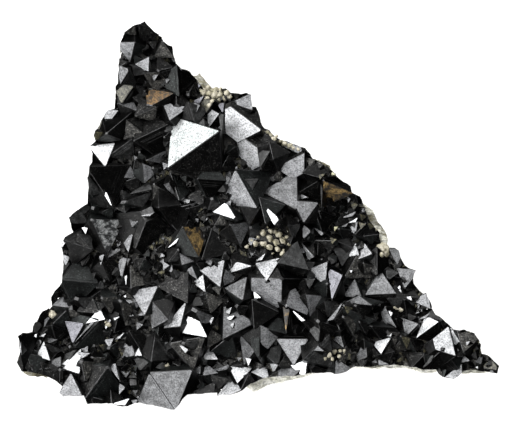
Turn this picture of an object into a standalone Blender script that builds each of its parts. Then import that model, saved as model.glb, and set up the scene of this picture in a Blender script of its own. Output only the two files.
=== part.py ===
"""A magnetite specimen lying on its back.

A plate of rock carries a crust of octahedral crystals, grown together over its whole front, with small
feldspar grains sunk in it. All lengths are in millimetres until the finished pieces are scaled to metres.
X runs to the right and Y up the front of the plate, from its lower left corner, and Z out of the front
towards whoever looks at it.
"""
import math
import random

import bmesh
import bpy
import numpy as np
from mathutils import Matrix, Vector

# Driving sizes
MM = 0.001
PLATE_SIZE = (96.4, 77.4)
PLATE_CENTRE = (48.05, 38.55)
PLATE_THICKNESS = 10.5
BED_THICKNESS = 2.8
TOUCHING_GAP = 0.35

# Heights that the blanks and the blocks that cut them reach, all well past the finished shapes
BLOCK_FLOOR = -10.0
BED_ROOT = 4.0
BLANK_TOP = 45.0
TRIM_SPAN = (-5.0, 50.0)

# The upper side of the rock, where the crystals grow: a low, uneven dome
CONTACT_CELL = 8.5
CONTACT_SWELL = 1.3
SWELL_LENGTHS = (9.0, 11.0)
SWELL_START = 0.6
CONTACT_WAVE = 0.7
WAVE_LENGTHS = (5.3, 7.1)
MIDDLE_RISE = 2.5
MIDDLE_PLACE = (40.2, 38.55)
MIDDLE_REACH = 26.0

# How far the rock and the bed lie inside the outline under crystals, and the crust where the rock is bare
ROCK_UNDER_CRYSTALS = 1.3
BED_UNDER_CRYSTALS = 1.2
BARE_ROCK = 2.0
TANGENT_REACH = 2

# The rock's rim: height, share of the outline about the heart, and unevenness of each ring
ROCK_HEART = (37.0, 27.0)
ROCK_RINGS = ((0.0, 0.885, 0.0), (3.2, 0.955, 0.9), (7.6, 1.0, 0.5), (BLANK_TOP, 1.0, 0.0))

# The outline of the specimen, clockwise from its top, as runs that crystals or bare rock make
OUTLINE = (
    ("crystals", ((25.5, 77.4), (26.8, 76.0), (29.3, 74.4), (29.4, 73.4), (31.3, 72.6), (31.9, 69.1),
                  (33.0, 68.1), (34.6, 67.6))),
    ("rock", ((36.6, 68.1), (37.9, 66.6), (39.2, 64.9))),
    ("crystals", ((40.3, 64.1), (41.8, 64.2), (42.7, 63.3), (45.7, 63.4), (47.0, 62.9), (47.0, 60.4),
                  (47.8, 60.5), (48.9, 57.3), (49.4, 56.2), (50.3, 55.8), (52.0, 54.2), (54.0, 53.5),
                  (55.5, 52.8), (57.5, 52.4), (58.8, 51.1))),
    ("rock", ((59.5, 51.1), (61.2, 50.1), (62.7, 49.2), (64.7, 46.7), (66.7, 44.7), (67.0, 43.6),
              (68.6, 42.8), (70.2, 41.0), (71.5, 40.1), (72.4, 38.6), (73.8, 36.2), (74.6, 33.9))),
    ("crystals", ((75.2, 32.5), (76.3, 32.0), (76.8, 30.2), (77.5, 29.1), (79.7, 27.9), (79.0, 26.2),
                  (79.2, 25.4), (80.9, 23.4), (81.6, 23.7), (82.6, 21.3), (83.5, 19.2), (84.9, 18.4),
                  (86.9, 16.4), (89.0, 16.4), (91.2, 15.6), (92.7, 13.2), (92.8, 11.5), (93.9, 11.4),
                  (95.1, 10.2))),
    ("rock", ((96.4, 8.8), (96.0, 6.6), (93.0, 6.7), (89.0, 6.7))),
    ("crystals", ((87.0, 5.9), (86.2, 5.8), (84.4, 6.4))),
    ("rock", ((83.0, 6.8), (80.3, 6.7), (79.3, 7.5), (74.0, 7.5), (67.5, 7.6), (64.5, 7.0), (62.0, 7.0),
              (58.0, 6.1), (54.0, 4.9), (50.0, 4.1), (47.0, 3.0))),
    ("crystals", ((44.2, 3.3), (42.3, 2.9), (39.8, 2.6), (39.7, 3.2), (36.0, 3.0), (34.2, 2.8),
                  (33.3, 1.9), (31.5, -0.3), (23.7, 1.3), (22.1, 0.5), (19.0, 1.0), (14.0, 1.0),
                  (13.2, 2.6), (9.3, 2.7), (8.3, 3.5), (9.0, 4.7), (7.7, 5.7))),
    ("rock", ((5.7, 5.7), (3.5, 6.2), (0.7, 6.6), (0.2, 7.4))),
    ("crystals", ((0.0, 9.5), (0.6, 11.7), (0.0, 14.9), (1.2, 15.7), (3.0, 15.8), (3.3, 17.4),
                  (5.0, 19.8), (6.5, 20.9), (6.8, 22.5), (7.4, 24.2), (8.7, 25.4), (8.9, 28.5),
                  (8.9, 31.4), (8.2, 33.4), (9.4, 34.7), (10.9, 35.5), (10.2, 38.4), (11.9, 40.0),
                  (13.8, 41.3), (14.1, 43.2), (14.0, 46.2), (14.6, 49.5), (15.0, 51.0), (14.1, 52.5))),
    ("rock", ((15.2, 53.6), (14.8, 54.8), (15.6, 56.6), (16.5, 58.0), (17.2, 59.6))),
    ("crystals", ((18.0, 60.0), (19.2, 60.2))),
    ("rock", ((19.1, 62.5), (19.2, 64.4))),
    ("crystals", ((19.8, 65.0), (20.2, 68.5), (20.4, 73.2), (21.2, 75.2), (22.9, 76.5), (24.5, 77.0))),
)

# Which way the shown face of a crystal leans: to the upper left of the front, or away from it
UP_LEFT = 1
DOWN_RIGHT = -1
LEAN_AXIS = np.array((math.cos(math.radians(150)), math.sin(math.radians(150))))

# The crystals that can be told apart: the three corners of the face that each one shows, and its lean
CRYSTALS = {
    "narrow top": (
        ((24.3, 76.8), (28.4, 75.1), (24.6, 72.6), DOWN_RIGHT),
        ((19.5, 73.1), (23.6, 73.1), (22.6, 69.0), UP_LEFT),
        ((27.2, 70.1), (31.4, 70.0), (29.0, 73.4), DOWN_RIGHT),
        ((23.2, 68.6), (26.4, 70.3), (26.3, 66.8), UP_LEFT),
        ((31.9, 68.6), (36.6, 66.2), (32.4, 62.2), DOWN_RIGHT),
        ((25.6, 64.0), (31.3, 63.0), (26.0, 60.0), UP_LEFT),
        ((28.9, 61.3), (34.2, 60.2), (30.5, 57.5), UP_LEFT),
        ((16.9, 59.9), (20.3, 59.6), (18.0, 56.6), UP_LEFT),
        ((20.0, 61.0), (23.0, 62.0), (24.3, 59.3), UP_LEFT),
        ((23.4, 58.3), (28.0, 60.1), (27.6, 57.2), DOWN_RIGHT),
    ),
    "left shoulder": (
        ((14.3, 52.5), (19.7, 53.2), (17.7, 48.3), UP_LEFT),
        ((21.9, 57.7), (25.4, 54.9), (21.3, 53.7), DOWN_RIGHT),
        ((23.3, 53.5), (30.5, 57.0), (29.2, 49.4), DOWN_RIGHT),
        ((25.1, 49.1), (28.3, 47.7), (25.4, 45.0), DOWN_RIGHT),
        ((30.9, 58.5), (40.5, 55.5), (30.0, 48.0), UP_LEFT),
        ((14.0, 48.3), (23.0, 48.8), (19.6, 40.0), DOWN_RIGHT),
        ((21.4, 46.2), (22.7, 48.6), (23.8, 46.0), DOWN_RIGHT),
        ((26.1, 45.3), (27.4, 44.0), (22.3, 42.9), UP_LEFT),
        ((28.9, 44.7), (30.3, 45.2), (32.1, 42.0), UP_LEFT),
        ((30.6, 47.3), (36.2, 44.6), (32.4, 41.6), DOWN_RIGHT),
        ((36.0, 46.0), (41.9, 45.6), (38.2, 41.3), DOWN_RIGHT),
        ((33.1, 42.0), (35.3, 42.0), (33.5, 40.6), UP_LEFT),
    ),
    "right shoulder": (
        ((42.5, 61.1), (47.1, 63.2), (46.9, 59.6), UP_LEFT),
        ((38.0, 60.2), (40.3, 58.9), (38.0, 55.8), UP_LEFT),
        ((41.4, 61.2), (48.8, 55.6), (41.4, 51.8), UP_LEFT),
        ((43.5, 55.2), (51.1, 49.9), (44.7, 46.4), UP_LEFT),
        ((43.5, 47.9), (47.9, 40.1), (40.2, 41.0), UP_LEFT),
        ((51.3, 48.2), (57.2, 51.1), (57.2, 44.5), UP_LEFT),
        ((48.5, 43.4), (55.8, 47.8), (55.9, 39.7), UP_LEFT),
        ((54.9, 41.7), (60.1, 41.3), (57.1, 37.2), UP_LEFT),
        ((45.1, 45.9), (48.1, 46.0), (46.7, 43.3), DOWN_RIGHT),
        ((50.1, 53.9), (54.6, 51.2), (51.0, 49.9), DOWN_RIGHT),
        ((56.0, 43.2), (60.3, 45.8), (60.2, 41.2), DOWN_RIGHT),
        ((60.9, 45.7), (67.0, 43.1), (61.0, 40.3), DOWN_RIGHT),
    ),
    "left flank": (
        ((14.9, 38.0), (21.7, 37.9), (18.1, 30.9), DOWN_RIGHT),
        ((21.3, 33.2), (23.4, 36.0), (22.3, 31.4), UP_LEFT),
        ((26.6, 39.6), (32.6, 34.3), (22.6, 29.6), DOWN_RIGHT),
        ((20.1, 31.0), (22.6, 30.1), (20.6, 25.6), UP_LEFT),
        ((16.8, 29.8), (20.3, 30.2), (18.6, 25.6), DOWN_RIGHT),
        ((22.5, 30.3), (28.7, 25.5), (22.8, 24.4), DOWN_RIGHT),
        ((22.6, 23.8), (28.2, 24.8), (25.5, 18.8), UP_LEFT),
        ((9.3, 33.9), (15.4, 31.9), (11.2, 28.6), DOWN_RIGHT),
        ((12.2, 35.0), (15.1, 35.1), (15.1, 31.8), DOWN_RIGHT),
        ((8.9, 25.9), (16.5, 25.2), (11.5, 20.2), DOWN_RIGHT),
    ),
    "middle": (
        ((33.0, 36.5), (38.0, 36.4), (36.3, 30.3), DOWN_RIGHT),
        ((36.3, 27.9), (41.4, 30.0), (40.5, 24.4), UP_LEFT),
        ((35.0, 25.4), (37.1, 27.0), (37.6, 23.4), UP_LEFT),
        ((41.2, 24.3), (45.8, 26.6), (45.0, 21.8), UP_LEFT),
        ((41.6, 28.0), (44.2, 26.1), (40.8, 24.6), DOWN_RIGHT),
        ((42.4, 36.9), (46.9, 37.6), (44.5, 32.6), DOWN_RIGHT),
        ((33.4, 27.7), (34.9, 28.6), (36.0, 26.0), UP_LEFT),
        ((32.3, 31.6), (35.4, 29.6), (32.9, 28.9), DOWN_RIGHT),
        ((25.6, 30.5), (28.9, 31.2), (28.7, 26.0), DOWN_RIGHT),
        ((47.4, 29.2), (52.6, 30.4), (49.6, 25.6), UP_LEFT),
        ((56.5, 33.5), (59.2, 30.5), (58.0, 29.7), UP_LEFT),
        ((57.7, 27.9), (61.8, 29.6), (61.4, 24.7), UP_LEFT),
        ((62.9, 32.4), (67.1, 32.0), (64.7, 28.5), DOWN_RIGHT),
        ((65.8, 30.5), (67.4, 33.3), (68.1, 30.8), UP_LEFT),
        ((67.6, 29.9), (69.1, 33.3), (70.7, 31.1), UP_LEFT),
        ((67.2, 26.1), (68.6, 22.4), (64.7, 22.6), UP_LEFT),
        ((43.5, 26.3), (52.8, 26.2), (52.7, 19.0), UP_LEFT),
        ((54.8, 25.4), (58.9, 18.4), (53.5, 20.8), DOWN_RIGHT),
        ((57.4, 23.1), (61.4, 22.7), (58.3, 18.3), DOWN_RIGHT),
        ((57.0, 26.2), (59.3, 26.1), (58.2, 24.1), UP_LEFT),
        ((59.4, 39.2), (63.7, 38.7), (61.0, 34.6), DOWN_RIGHT),
        ((65.8, 36.0), (67.8, 37.6), (67.4, 34.9), UP_LEFT),
    ),
    "right edge": (
        ((73.9, 32.2), (77.0, 32.0), (75.7, 28.8), UP_LEFT),
        ((75.5, 28.3), (80.1, 27.9), (77.1, 24.1), UP_LEFT),
        ((72.3, 28.0), (75.5, 23.2), (69.2, 22.9), UP_LEFT),
        ((78.9, 21.6), (81.7, 23.9), (82.3, 20.1), UP_LEFT),
    ),
    "lower left": (
        ((9.0, 22.9), (10.5, 20.4), (7.1, 20.8), UP_LEFT),
        ((2.9, 17.9), (6.6, 20.9), (6.2, 17.2), DOWN_RIGHT),
        ((16.7, 18.1), (11.3, 12.4), (18.5, 11.8), DOWN_RIGHT),
        ((13.7, 17.2), (16.6, 20.4), (17.7, 18.1), UP_LEFT),
        ((21.9, 16.0), (23.6, 10.9), (19.9, 10.2), UP_LEFT),
        ((8.2, 8.6), (12.9, 12.3), (12.6, 7.3), UP_LEFT),
        ((10.9, 7.5), (13.3, 2.7), (7.9, 2.9), UP_LEFT),
        ((5.5, 13.8), (6.8, 9.9), (3.9, 10.7), UP_LEFT),
        ((0.0, 15.6), (5.0, 15.5), (1.5, 8.0), DOWN_RIGHT),
        ((18.2, 8.7), (13.3, 1.9), (21.4, 3.9), DOWN_RIGHT),
        ((23.4, 10.8), (24.3, 12.5), (25.0, 10.9), UP_LEFT),
    ),
    "lower middle": (
        ((35.1, 8.1), (26.4, 7.6), (31.7, -0.2), UP_LEFT),
        ((35.2, 20.4), (38.0, 14.5), (32.2, 15.5), UP_LEFT),
        ((33.8, 21.8), (29.2, 16.4), (32.6, 16.7), UP_LEFT),
        ((26.5, 22.3), (30.2, 18.0), (26.9, 16.2), UP_LEFT),
        ((37.6, 9.4), (40.1, 7.4), (37.0, 6.9), UP_LEFT),
        ((38.4, 12.6), (40.1, 10.1), (36.8, 10.1), UP_LEFT),
        ((43.0, 6.9), (44.9, 3.7), (39.5, 2.5), UP_LEFT),
        ((38.4, 7.0), (42.2, 6.2), (39.8, 3.6), DOWN_RIGHT),
        ((51.6, 14.2), (58.0, 14.2), (55.1, 8.8), UP_LEFT),
        ((54.4, 8.9), (57.8, 10.1), (57.3, 6.3), UP_LEFT),
        ((48.5, 17.0), (52.5, 15.2), (48.5, 10.3), DOWN_RIGHT),
        ((44.3, 15.2), (47.3, 11.8), (45.2, 8.9), UP_LEFT),
        ((42.0, 8.9), (46.9, 8.4), (43.9, 5.4), UP_LEFT),
        ((46.6, 7.6), (49.6, 9.3), (50.3, 5.8), UP_LEFT),
        ((50.2, 9.7), (52.0, 9.0), (51.0, 7.2), UP_LEFT),
    ),
    "right tail": (
        ((62.8, 14.1), (64.3, 15.3), (65.1, 12.4), UP_LEFT),
        ((63.4, 10.3), (66.8, 8.2), (63.3, 6.8), UP_LEFT),
        ((73.2, 20.6), (75.6, 16.3), (71.3, 17.5), UP_LEFT),
        ((76.5, 18.4), (79.9, 17.2), (77.3, 14.5), UP_LEFT),
        ((79.4, 14.3), (83.9, 17.6), (81.3, 18.9), UP_LEFT),
        ((70.6, 13.4), (74.5, 14.6), (72.4, 11.2), UP_LEFT),
        ((69.3, 14.8), (69.6, 10.6), (67.2, 9.7), UP_LEFT),
        ((71.5, 11.0), (75.2, 11.7), (73.9, 8.6), DOWN_RIGHT),
        ((77.2, 11.6), (81.4, 11.5), (78.6, 8.6), UP_LEFT),
        ((80.9, 12.8), (85.9, 16.8), (87.3, 10.8), UP_LEFT),
        ((80.4, 8.1), (84.6, 12.2), (88.8, 7.0), DOWN_RIGHT),
        ((86.2, 16.6), (88.3, 13.3), (86.9, 13.0), UP_LEFT),
        ((87.4, 16.3), (92.4, 14.6), (88.8, 11.4), DOWN_RIGHT),
        ((84.7, 6.3), (88.5, 9.3), (88.6, 5.9), UP_LEFT),
        ((93.3, 9.1), (94.4, 10.3), (95.6, 8.7), UP_LEFT),
    ),
}

# The crystal whose shown face runs on into a twin's, and the two corners of it on the line between them
TWINNED_CORNERS = ((26.4, 7.6), (31.7, -0.2), (35.1, 8.1))

# Small crystals that fill the bed between the ones above
SMALL_SEED = 11
SMALL_EDGE = (2.8, 7.5)
EDGE_TO_ROOM = 2.6
SMALL_REACH = 0.36
LEAST_ROOM = 0.75
MOST_SMALL = 58
ROOM_STEP = 0.8
SMALL_TILT = (8.0, 50.0)
SMALL_UP_LEFT_SHARE = 0.25
SMALL_HEADING = 80.0
SMALL_NEEDED_BELOW = 1.8
LEAST_SHOWING = 2.0
VIEW_STEP = 0.5

# How high a crystal stands, as shares of its edge, and how it settles among its neighbours
CENTRE_LIFT = 0.03
SMALL_CENTRE_LIFT = 0.15
SMALL_RISE = 0.2
MOST_HIDING = 0.3
SETTLE_ROUNDS = 400
SETTLE_RATE = 0.22
SETTLE_SPRING = 0.015
GRAIN_PUSH = 2.0
FACE_CLEARANCE = 0.12

# Feldspar grains: place and width of each
GRAINS = {
    "feldspar_grains_middle": (
        (48.9, 35.2, 1.4), (48.9, 33.5, 1.8), (47.4, 33.2, 1.6), (50.3, 34.1, 1.5), (50.3, 32.5, 1.6),
        (51.6, 33.3, 1.6), (52.9, 33.6, 1.6), (52.2, 34.9, 1.6), (50.5, 35.6, 1.3), (51.9, 32.1, 1.4),
    ),
    "feldspar_grains_top": (
        (37.1, 63.4, 1.6), (38.3, 62.9, 1.6), (39.5, 62.5, 1.6), (40.6, 62.8, 1.6), (41.4, 62.1, 1.5),
        (39.6, 63.7, 1.4),
    ),
    "feldspar_grain_right": ((72.8, 31.7, 2.9),),
    "feldspar_grains_tail": ((76.6, 20.2, 1.7), (75.4, 20.4, 1.8)),
    "feldspar_grain_lower": ((29.9, 8.9, 1.6),),
    "feldspar_grain_corner": ((18.1, 17.0, 1.7),),
    "feldspar_grain_left": ((7.2, 18.9, 1.8),),
}
GRAIN_LIFT = 1.1
GRAIN_SINK = 0.25
GRAIN_SEED = 5
GRAIN_STRETCH = 0.16
GRAIN_OVERLAP = 1.22
FINE_GRAIN = 2.0
POCKET_GAP = 0.48
GRAIN_COLOUR = (0.72, 0.66, 0.50)

ROCK_COLOUR = (0.56, 0.53, 0.43)
MAGNETITE_COLOUR = (0.035, 0.036, 0.038)

# Directions from the middle of an equilateral face to two of its corners, and points of a face as shares
# of its corners
CORNER_DIRECTIONS = np.array([[math.cos(math.radians(a)) for a in (90, 210)],
                              [math.sin(math.radians(a)) for a in (90, 210)]])
FACE_SAMPLES = np.array([(1 / 3, 1 / 3, 1 / 3), (0.74, 0.13, 0.13), (0.13, 0.74, 0.13),
                         (0.13, 0.13, 0.74), (0.46, 0.46, 0.08), (0.46, 0.08, 0.46), (0.08, 0.46, 0.46)])
ANTIPODES = ((0, 3), (1, 4), (2, 5))

# The steepest shown face, and an octahedron's depth under a face as a share of the root of its area
MOST_TILT = math.radians(42.0)
CENTRE_DEPTH = math.sqrt(2 / (3 * math.sqrt(3)))
UPRIGHT = 1e-6
SAME_PLANE = math.radians(0.2)


def contact_height(x, y):
    """Height of the rock's upper side."""
    swell = CONTACT_SWELL * math.sin(x / SWELL_LENGTHS[0] + SWELL_START) * math.cos(y / SWELL_LENGTHS[1])
    wave = CONTACT_WAVE * math.sin(x / WAVE_LENGTHS[0] + y / WAVE_LENGTHS[1])
    away = math.hypot(x - MIDDLE_PLACE[0], y - MIDDLE_PLACE[1]) / MIDDLE_REACH
    return PLATE_THICKNESS + swell + wave + MIDDLE_RISE * math.exp(-away * away)


def bed_height(point):
    return contact_height(point[0], point[1]) + BED_THICKNESS


def face_of(corners, lean):
    """Middle and normal of the equilateral face that shows these corners from the front."""
    points = np.array(corners, float)
    middle = points.mean(axis=0)
    plan = (points[:2] - middle).T @ np.linalg.inv(CORNER_DIRECTIONS)
    axes, radii, _ = np.linalg.svd(plan)
    steepest = axes[:, 1] * np.sign(axes[:, 1] @ LEAN_AXIS) * lean
    cos_tilt = radii[1] / radii[0]
    normal = np.append(steepest * math.sqrt(1 - cos_tilt * cos_tilt), cos_tilt)
    return middle, normal


def octahedron(corners, lean):
    """Six corners with the middle of the shown face at height zero: three on that face, then three behind.

    A face narrow enough to stand steeper than the steepest belongs to a crystal stretched along it.
    """
    middle, normal = face_of(corners, lean)
    if normal[2] < math.cos(MOST_TILT):
        steepest = normal[:2] / np.linalg.norm(normal[:2])
        normal = np.append(steepest * math.sin(MOST_TILT), math.cos(MOST_TILT))
    plan = np.array(corners, float)
    heights = -((plan - middle) @ normal[:2]) / normal[2]
    front = np.column_stack([plan, heights])
    area = np.linalg.norm(np.cross(front[1] - front[0], front[2] - front[0])) / 2
    centre = np.append(middle, 0.0) - normal * CENTRE_DEPTH * math.sqrt(area)
    return np.vstack([front, 2 * centre - front])


def octahedron_faces(corners):
    """The eight faces, each with its corners anticlockwise from outside."""
    centre = corners.mean(axis=0)
    faces = []
    for a in ANTIPODES[0]:
        for b in ANTIPODES[1]:
            for c in ANTIPODES[2]:
                out = np.cross(corners[b] - corners[a], corners[c] - corners[a])
                outward = out @ (corners[a] - centre) > 0
                faces.append((a, b, c) if outward else (a, c, b))
    return faces


def upper_and_lower(corners, points):
    """Heights of a crystal's upper and lower side at plan points, where it has any."""
    upper = np.full(len(points), np.inf)
    lower = np.full(len(points), -np.inf)
    for face in octahedron_faces(corners):
        a, b, c = corners[list(face)]
        normal = np.cross(b - a, c - a)
        if abs(normal[2]) > UPRIGHT * np.linalg.norm(normal):
            height = a[2] - ((points - a[:2]) @ normal[:2]) / normal[2]
            if normal[2] > 0:
                upper = np.minimum(upper, height)
            else:
                lower = np.maximum(lower, height)
    upper[upper < lower] = -np.inf
    return upper, lower


def covering(crystals):
    """How much higher crystal i stands over the shown face of crystal j than that face, at equal levels."""
    samples = np.array([FACE_SAMPLES @ corners[:3] for corners in crystals])
    points = samples[:, :, :2].reshape(-1, 2)
    cover = np.full((len(crystals), len(crystals)), -np.inf)
    for i, corners in enumerate(crystals):
        upper, _ = upper_and_lower(corners, points)
        cover[i] = (upper.reshape(len(crystals), -1) - samples[:, :, 2]).max(axis=1)
        cover[i, i] = -np.inf
    return cover


def cover_of_grains(crystals):
    """The height of each crystal over each grain's middle, and the height of that middle."""
    grains = [grain for group in GRAINS.values() for grain in group]
    points = np.array([grain[:2] for grain in grains])
    cover = np.array([upper_and_lower(corners, points)[0] for corners in crystals])
    levels = np.array([bed_height(grain) + GRAIN_LIFT for grain in grains])
    return cover, levels


def settle(crystals, start, fixed):
    """Moves crystals up and down until, as far as they can, none hides the shown face of another.

    The first crystals may be fixed. The others then give way to them and don't rise to clear themselves.
    """
    cover = covering(crystals)
    grain_cover, grain_levels = cover_of_grains(crystals)
    movable = np.arange(len(crystals)) >= fixed
    rise = SMALL_RISE if fixed else 1.0
    levels = start.copy()
    for _ in range(SETTLE_ROUNDS):
        lack = np.maximum(levels[:, None] + cover + FACE_CLEARANCE - levels[None, :], 0)
        over_grain = np.maximum(levels[:, None] + grain_cover - grain_levels[None, :], 0)
        push = rise * lack.max(axis=0) - lack.max(axis=1) - GRAIN_PUSH * over_grain.max(axis=1)
        levels += movable * (SETTLE_RATE * push + SETTLE_SPRING * (start - levels))
    hiding = (levels[:, None] + cover - levels[None, :])[:, :fixed].max(axis=1, initial=-np.inf)
    return levels, hiding


def resting_level(corners, lift):
    """Height of the middle of the shown face of a crystal that grows out of the bed."""
    edge = np.linalg.norm(corners[0] - corners[1])
    centre_below_face = -corners.mean(axis=0)[2]
    return bed_height(corners[:3].mean(axis=0)) + lift * edge + centre_below_face


def inside(point, outline):
    """Whether a plan point lies in the outline."""
    x, y = point[:2]
    within = False
    for (x0, y0), (x1, y1) in zip(outline, outline[1:] + outline[:1]):
        if (y0 > y) != (y1 > y) and x < x0 + (y - y0) / (y1 - y0) * (x1 - x0):
            within = not within
    return within


def small_crystal(draw, place, edge):
    """A crystal of random attitude with its shown face over a plan point."""
    tilt = math.radians(draw.uniform(*SMALL_TILT))
    lean = UP_LEFT if draw.random() < SMALL_UP_LEFT_SHARE else DOWN_RIGHT
    swing = math.radians(draw.uniform(-SMALL_HEADING, SMALL_HEADING))
    heading = math.atan2(*LEAN_AXIS[::-1] * lean) + swing
    turn = draw.uniform(0, 2 * math.pi)
    across = np.array((-math.sin(heading), math.cos(heading)))
    along = np.array((math.cos(heading), math.sin(heading))) * math.cos(tilt)
    corners = []
    for k in range(3):
        angle = turn + k * 2 * math.pi / 3
        arm = math.cos(angle) * across + math.sin(angle) * along
        corners.append(tuple(place + edge / math.sqrt(3) * arm))
    return octahedron(corners, lean)


def tops(crystals, levels, points):
    """Height of each crystal at each plan point."""
    return np.array([upper_and_lower(c, points)[0] + level for c, level in zip(crystals, levels)])


def front_points(step):
    """Plan points all over the front."""
    xs, ys = (np.arange(0, size, step) for size in PLATE_SIZE)
    return np.array([(x, y) for y in ys for x in xs])


def small_crystals(crystals, levels, outline):
    """Fills the places that no large crystal stands over, the widest first."""
    draw = random.Random(SMALL_SEED)
    points = np.array([point for point in front_points(ROOM_STEP) if inside(point, outline)])
    beds = np.array([bed_height(point) for point in points])
    faces = [[tuple(corner[:2]) for corner in crystal[:3]] for crystal in crystals] + [twin_face()]
    on_face = np.array([any(inside(point, face) for face in faces) for point in points])
    free = (tops(crystals, levels, points).max(axis=0) < beds + SMALL_NEEDED_BELOW) & ~on_face
    places, taken = points[free], points[~free]
    room = np.array([np.linalg.norm(taken - place, axis=1).min() for place in places])
    found = []
    while room.max() > LEAST_ROOM and len(found) < MOST_SMALL:
        place = places[room.argmax()]
        edge = min(max(EDGE_TO_ROOM * room.max(), SMALL_EDGE[0]), SMALL_EDGE[1])
        found.append(small_crystal(draw, place, edge))
        room = np.minimum(room, np.linalg.norm(places - place, axis=1) - SMALL_REACH * edge)
    return found


def showing(crystals, levels):
    """How much of the front each crystal makes up, in square millimetres."""
    front = tops(crystals, levels, front_points(VIEW_STEP)).argmax(axis=0)
    return np.bincount(front, minlength=len(crystals)) * VIEW_STEP ** 2


def grown_crystals(outline):
    """Every crystal at its height."""
    large = [octahedron(row[:3], row[3]) for group in CRYSTALS.values() for row in group]
    start = np.array([resting_level(corners, CENTRE_LIFT) for corners in large])
    levels, _ = settle(large, start, 0)
    small = small_crystals(large, levels, outline)
    everything = large + small
    start = np.append(levels, [resting_level(corners, SMALL_CENTRE_LIFT) for corners in small])
    levels, hiding = settle(everything, start, len(large))
    hiding[:len(large)] = 0
    areas = showing(everything, levels)
    rows = zip(everything, levels, areas, hiding)
    raised = [corners + (0, 0, level) for corners, level, area, over in rows
              if area > LEAST_SHOWING and over < MOST_HIDING]
    return raised + [twin_of(raised)]


def twin_face():
    """The corners of the twin's shown face in plan."""
    start, end, far = (np.array(corner) for corner in TWINNED_CORNERS)
    return [tuple(start), tuple(end), tuple(start + end - far)]


def twin_of(crystals):
    """The twin, turned half a turn in the plane of its partner's shown face, about their common line."""
    start, end, far = (np.array(corner) for corner in TWINNED_CORNERS)
    partner = next(c for c in crystals if np.allclose(c[0, :2], far))
    ends = [next(p for p in partner[:3] if np.allclose(p[:2], corner)) for corner in (start, end)]
    middle = (ends[0] + ends[1]) / 2
    normal = np.cross(partner[1] - partner[0], partner[2] - partner[0])
    normal /= np.linalg.norm(normal)
    offset = partner - middle
    return middle - offset + 2 * np.outer(offset @ normal, normal)


def run_points():
    """Every outline point with whether rock makes the outline there."""
    return [(Vector(point), kind == "rock") for kind, points in OUTLINE for point in points]


def inset_outline(under_crystals, at_rock):
    """The outline moved inwards by one amount where crystals make it and by another where rock does."""
    points = run_points()
    count = len(points)
    moved = []
    for i, (point, is_rock) in enumerate(points):
        along = points[(i + TANGENT_REACH) % count][0] - points[i - TANGENT_REACH][0]
        inwards = Vector((along.y, -along.x)).normalized()
        moved.append(tuple(point + inwards * (at_rock if is_rock else under_crystals)))
    return moved


def new_object(name, mesh):
    obj = bpy.data.objects.new(name, mesh)
    bpy.context.scene.collection.objects.link(obj)
    return obj


def mesh_object(name, vertices, faces):
    mesh = bpy.data.meshes.new(name)
    mesh.from_pydata([tuple(v) for v in vertices], [], faces)
    shape = bmesh.new()
    shape.from_mesh(mesh)
    bmesh.ops.recalc_face_normals(shape, faces=shape.faces)
    shape.to_mesh(mesh)
    shape.free()
    return new_object(name, mesh)


def loft(name, rings):
    """A closed solid through rings of equal point counts, lowest first."""
    count = len(rings[0])
    vertices = [point for ring in rings for point in ring]
    faces = [tuple(range(count)), tuple(range(len(vertices) - count, len(vertices)))]
    for level in range(len(rings) - 1):
        for i in range(count):
            a = level * count + i
            b = level * count + (i + 1) % count
            faces.append((a, b, b + count, a + count))
    return mesh_object(name, vertices, faces)


def contact_block(name, raised):
    """A block whose upper side is the uneven contact between rock and crust, raised a little."""
    margin = 2 * CONTACT_CELL
    xs, ys = (np.arange(-margin, size + margin, CONTACT_CELL) for size in PLATE_SIZE)
    vertices = [(x, y, contact_height(x, y) + raised) for y in ys for x in xs]
    vertices += [(x, y, BLOCK_FLOOR) for y in ys for x in xs]
    across, layer = len(xs), len(xs) * len(ys)
    faces = []
    for row in range(len(ys) - 1):
        for column in range(across - 1):
            a = row * across + column
            faces += [(a, a + 1, a + across + 1), (a, a + across + 1, a + across)]
            faces.append((a + layer, a + 1 + layer, a + across + 1 + layer, a + across + layer))
    rim = [(c, c + 1) for c in range(across - 1)]
    rim += [(layer - across + c, layer - across + c + 1) for c in range(across - 1)]
    rim += [(r * across, (r + 1) * across) for r in range(len(ys) - 1)]
    rim += [(r * across + across - 1, (r + 1) * across + across - 1) for r in range(len(ys) - 1)]
    faces += [(a, b, b + layer, a + layer) for a, b in rim]
    return as_cutter(mesh_object(name, vertices, faces))


def as_cutter(obj):
    obj.hide_render = True
    obj.display_type = "WIRE"
    return obj


def combine(obj, operation, other, solver="EXACT"):
    """Applies a Boolean to an object's mesh."""
    modifier = obj.modifiers.new("combine", "BOOLEAN")
    modifier.operation = operation
    modifier.object = other
    modifier.solver = solver
    modifier.use_self = solver == "EXACT"
    evaluated = obj.evaluated_get(bpy.context.evaluated_depsgraph_get())
    mesh = bpy.data.meshes.new_from_object(evaluated)
    obj.modifiers.clear()
    obj.data = mesh


def keep_outer_body(obj):
    """Deletes the walls of sealed hollows between crystals and any crystal that touches nothing."""
    shape = bmesh.new()
    shape.from_mesh(obj.data)
    unseen = set(shape.verts)
    bodies = []
    while unseen:
        body = set()
        edge = [unseen.pop()]
        while edge:
            vertex = edge.pop()
            body.add(vertex)
            near = {e.other_vert(vertex) for e in vertex.link_edges} & unseen
            unseen -= near
            edge.extend(near)
        bodies.append(body)
    largest = max(bodies, key=len)
    loose = [vertex for body in bodies if body is not largest for vertex in body]
    bmesh.ops.delete(shape, geom=loose, context="VERTS")
    bmesh.ops.dissolve_limit(shape, angle_limit=SAME_PLANE, verts=shape.verts, edges=shape.edges)
    shape.to_mesh(obj.data)
    shape.free()


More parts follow.
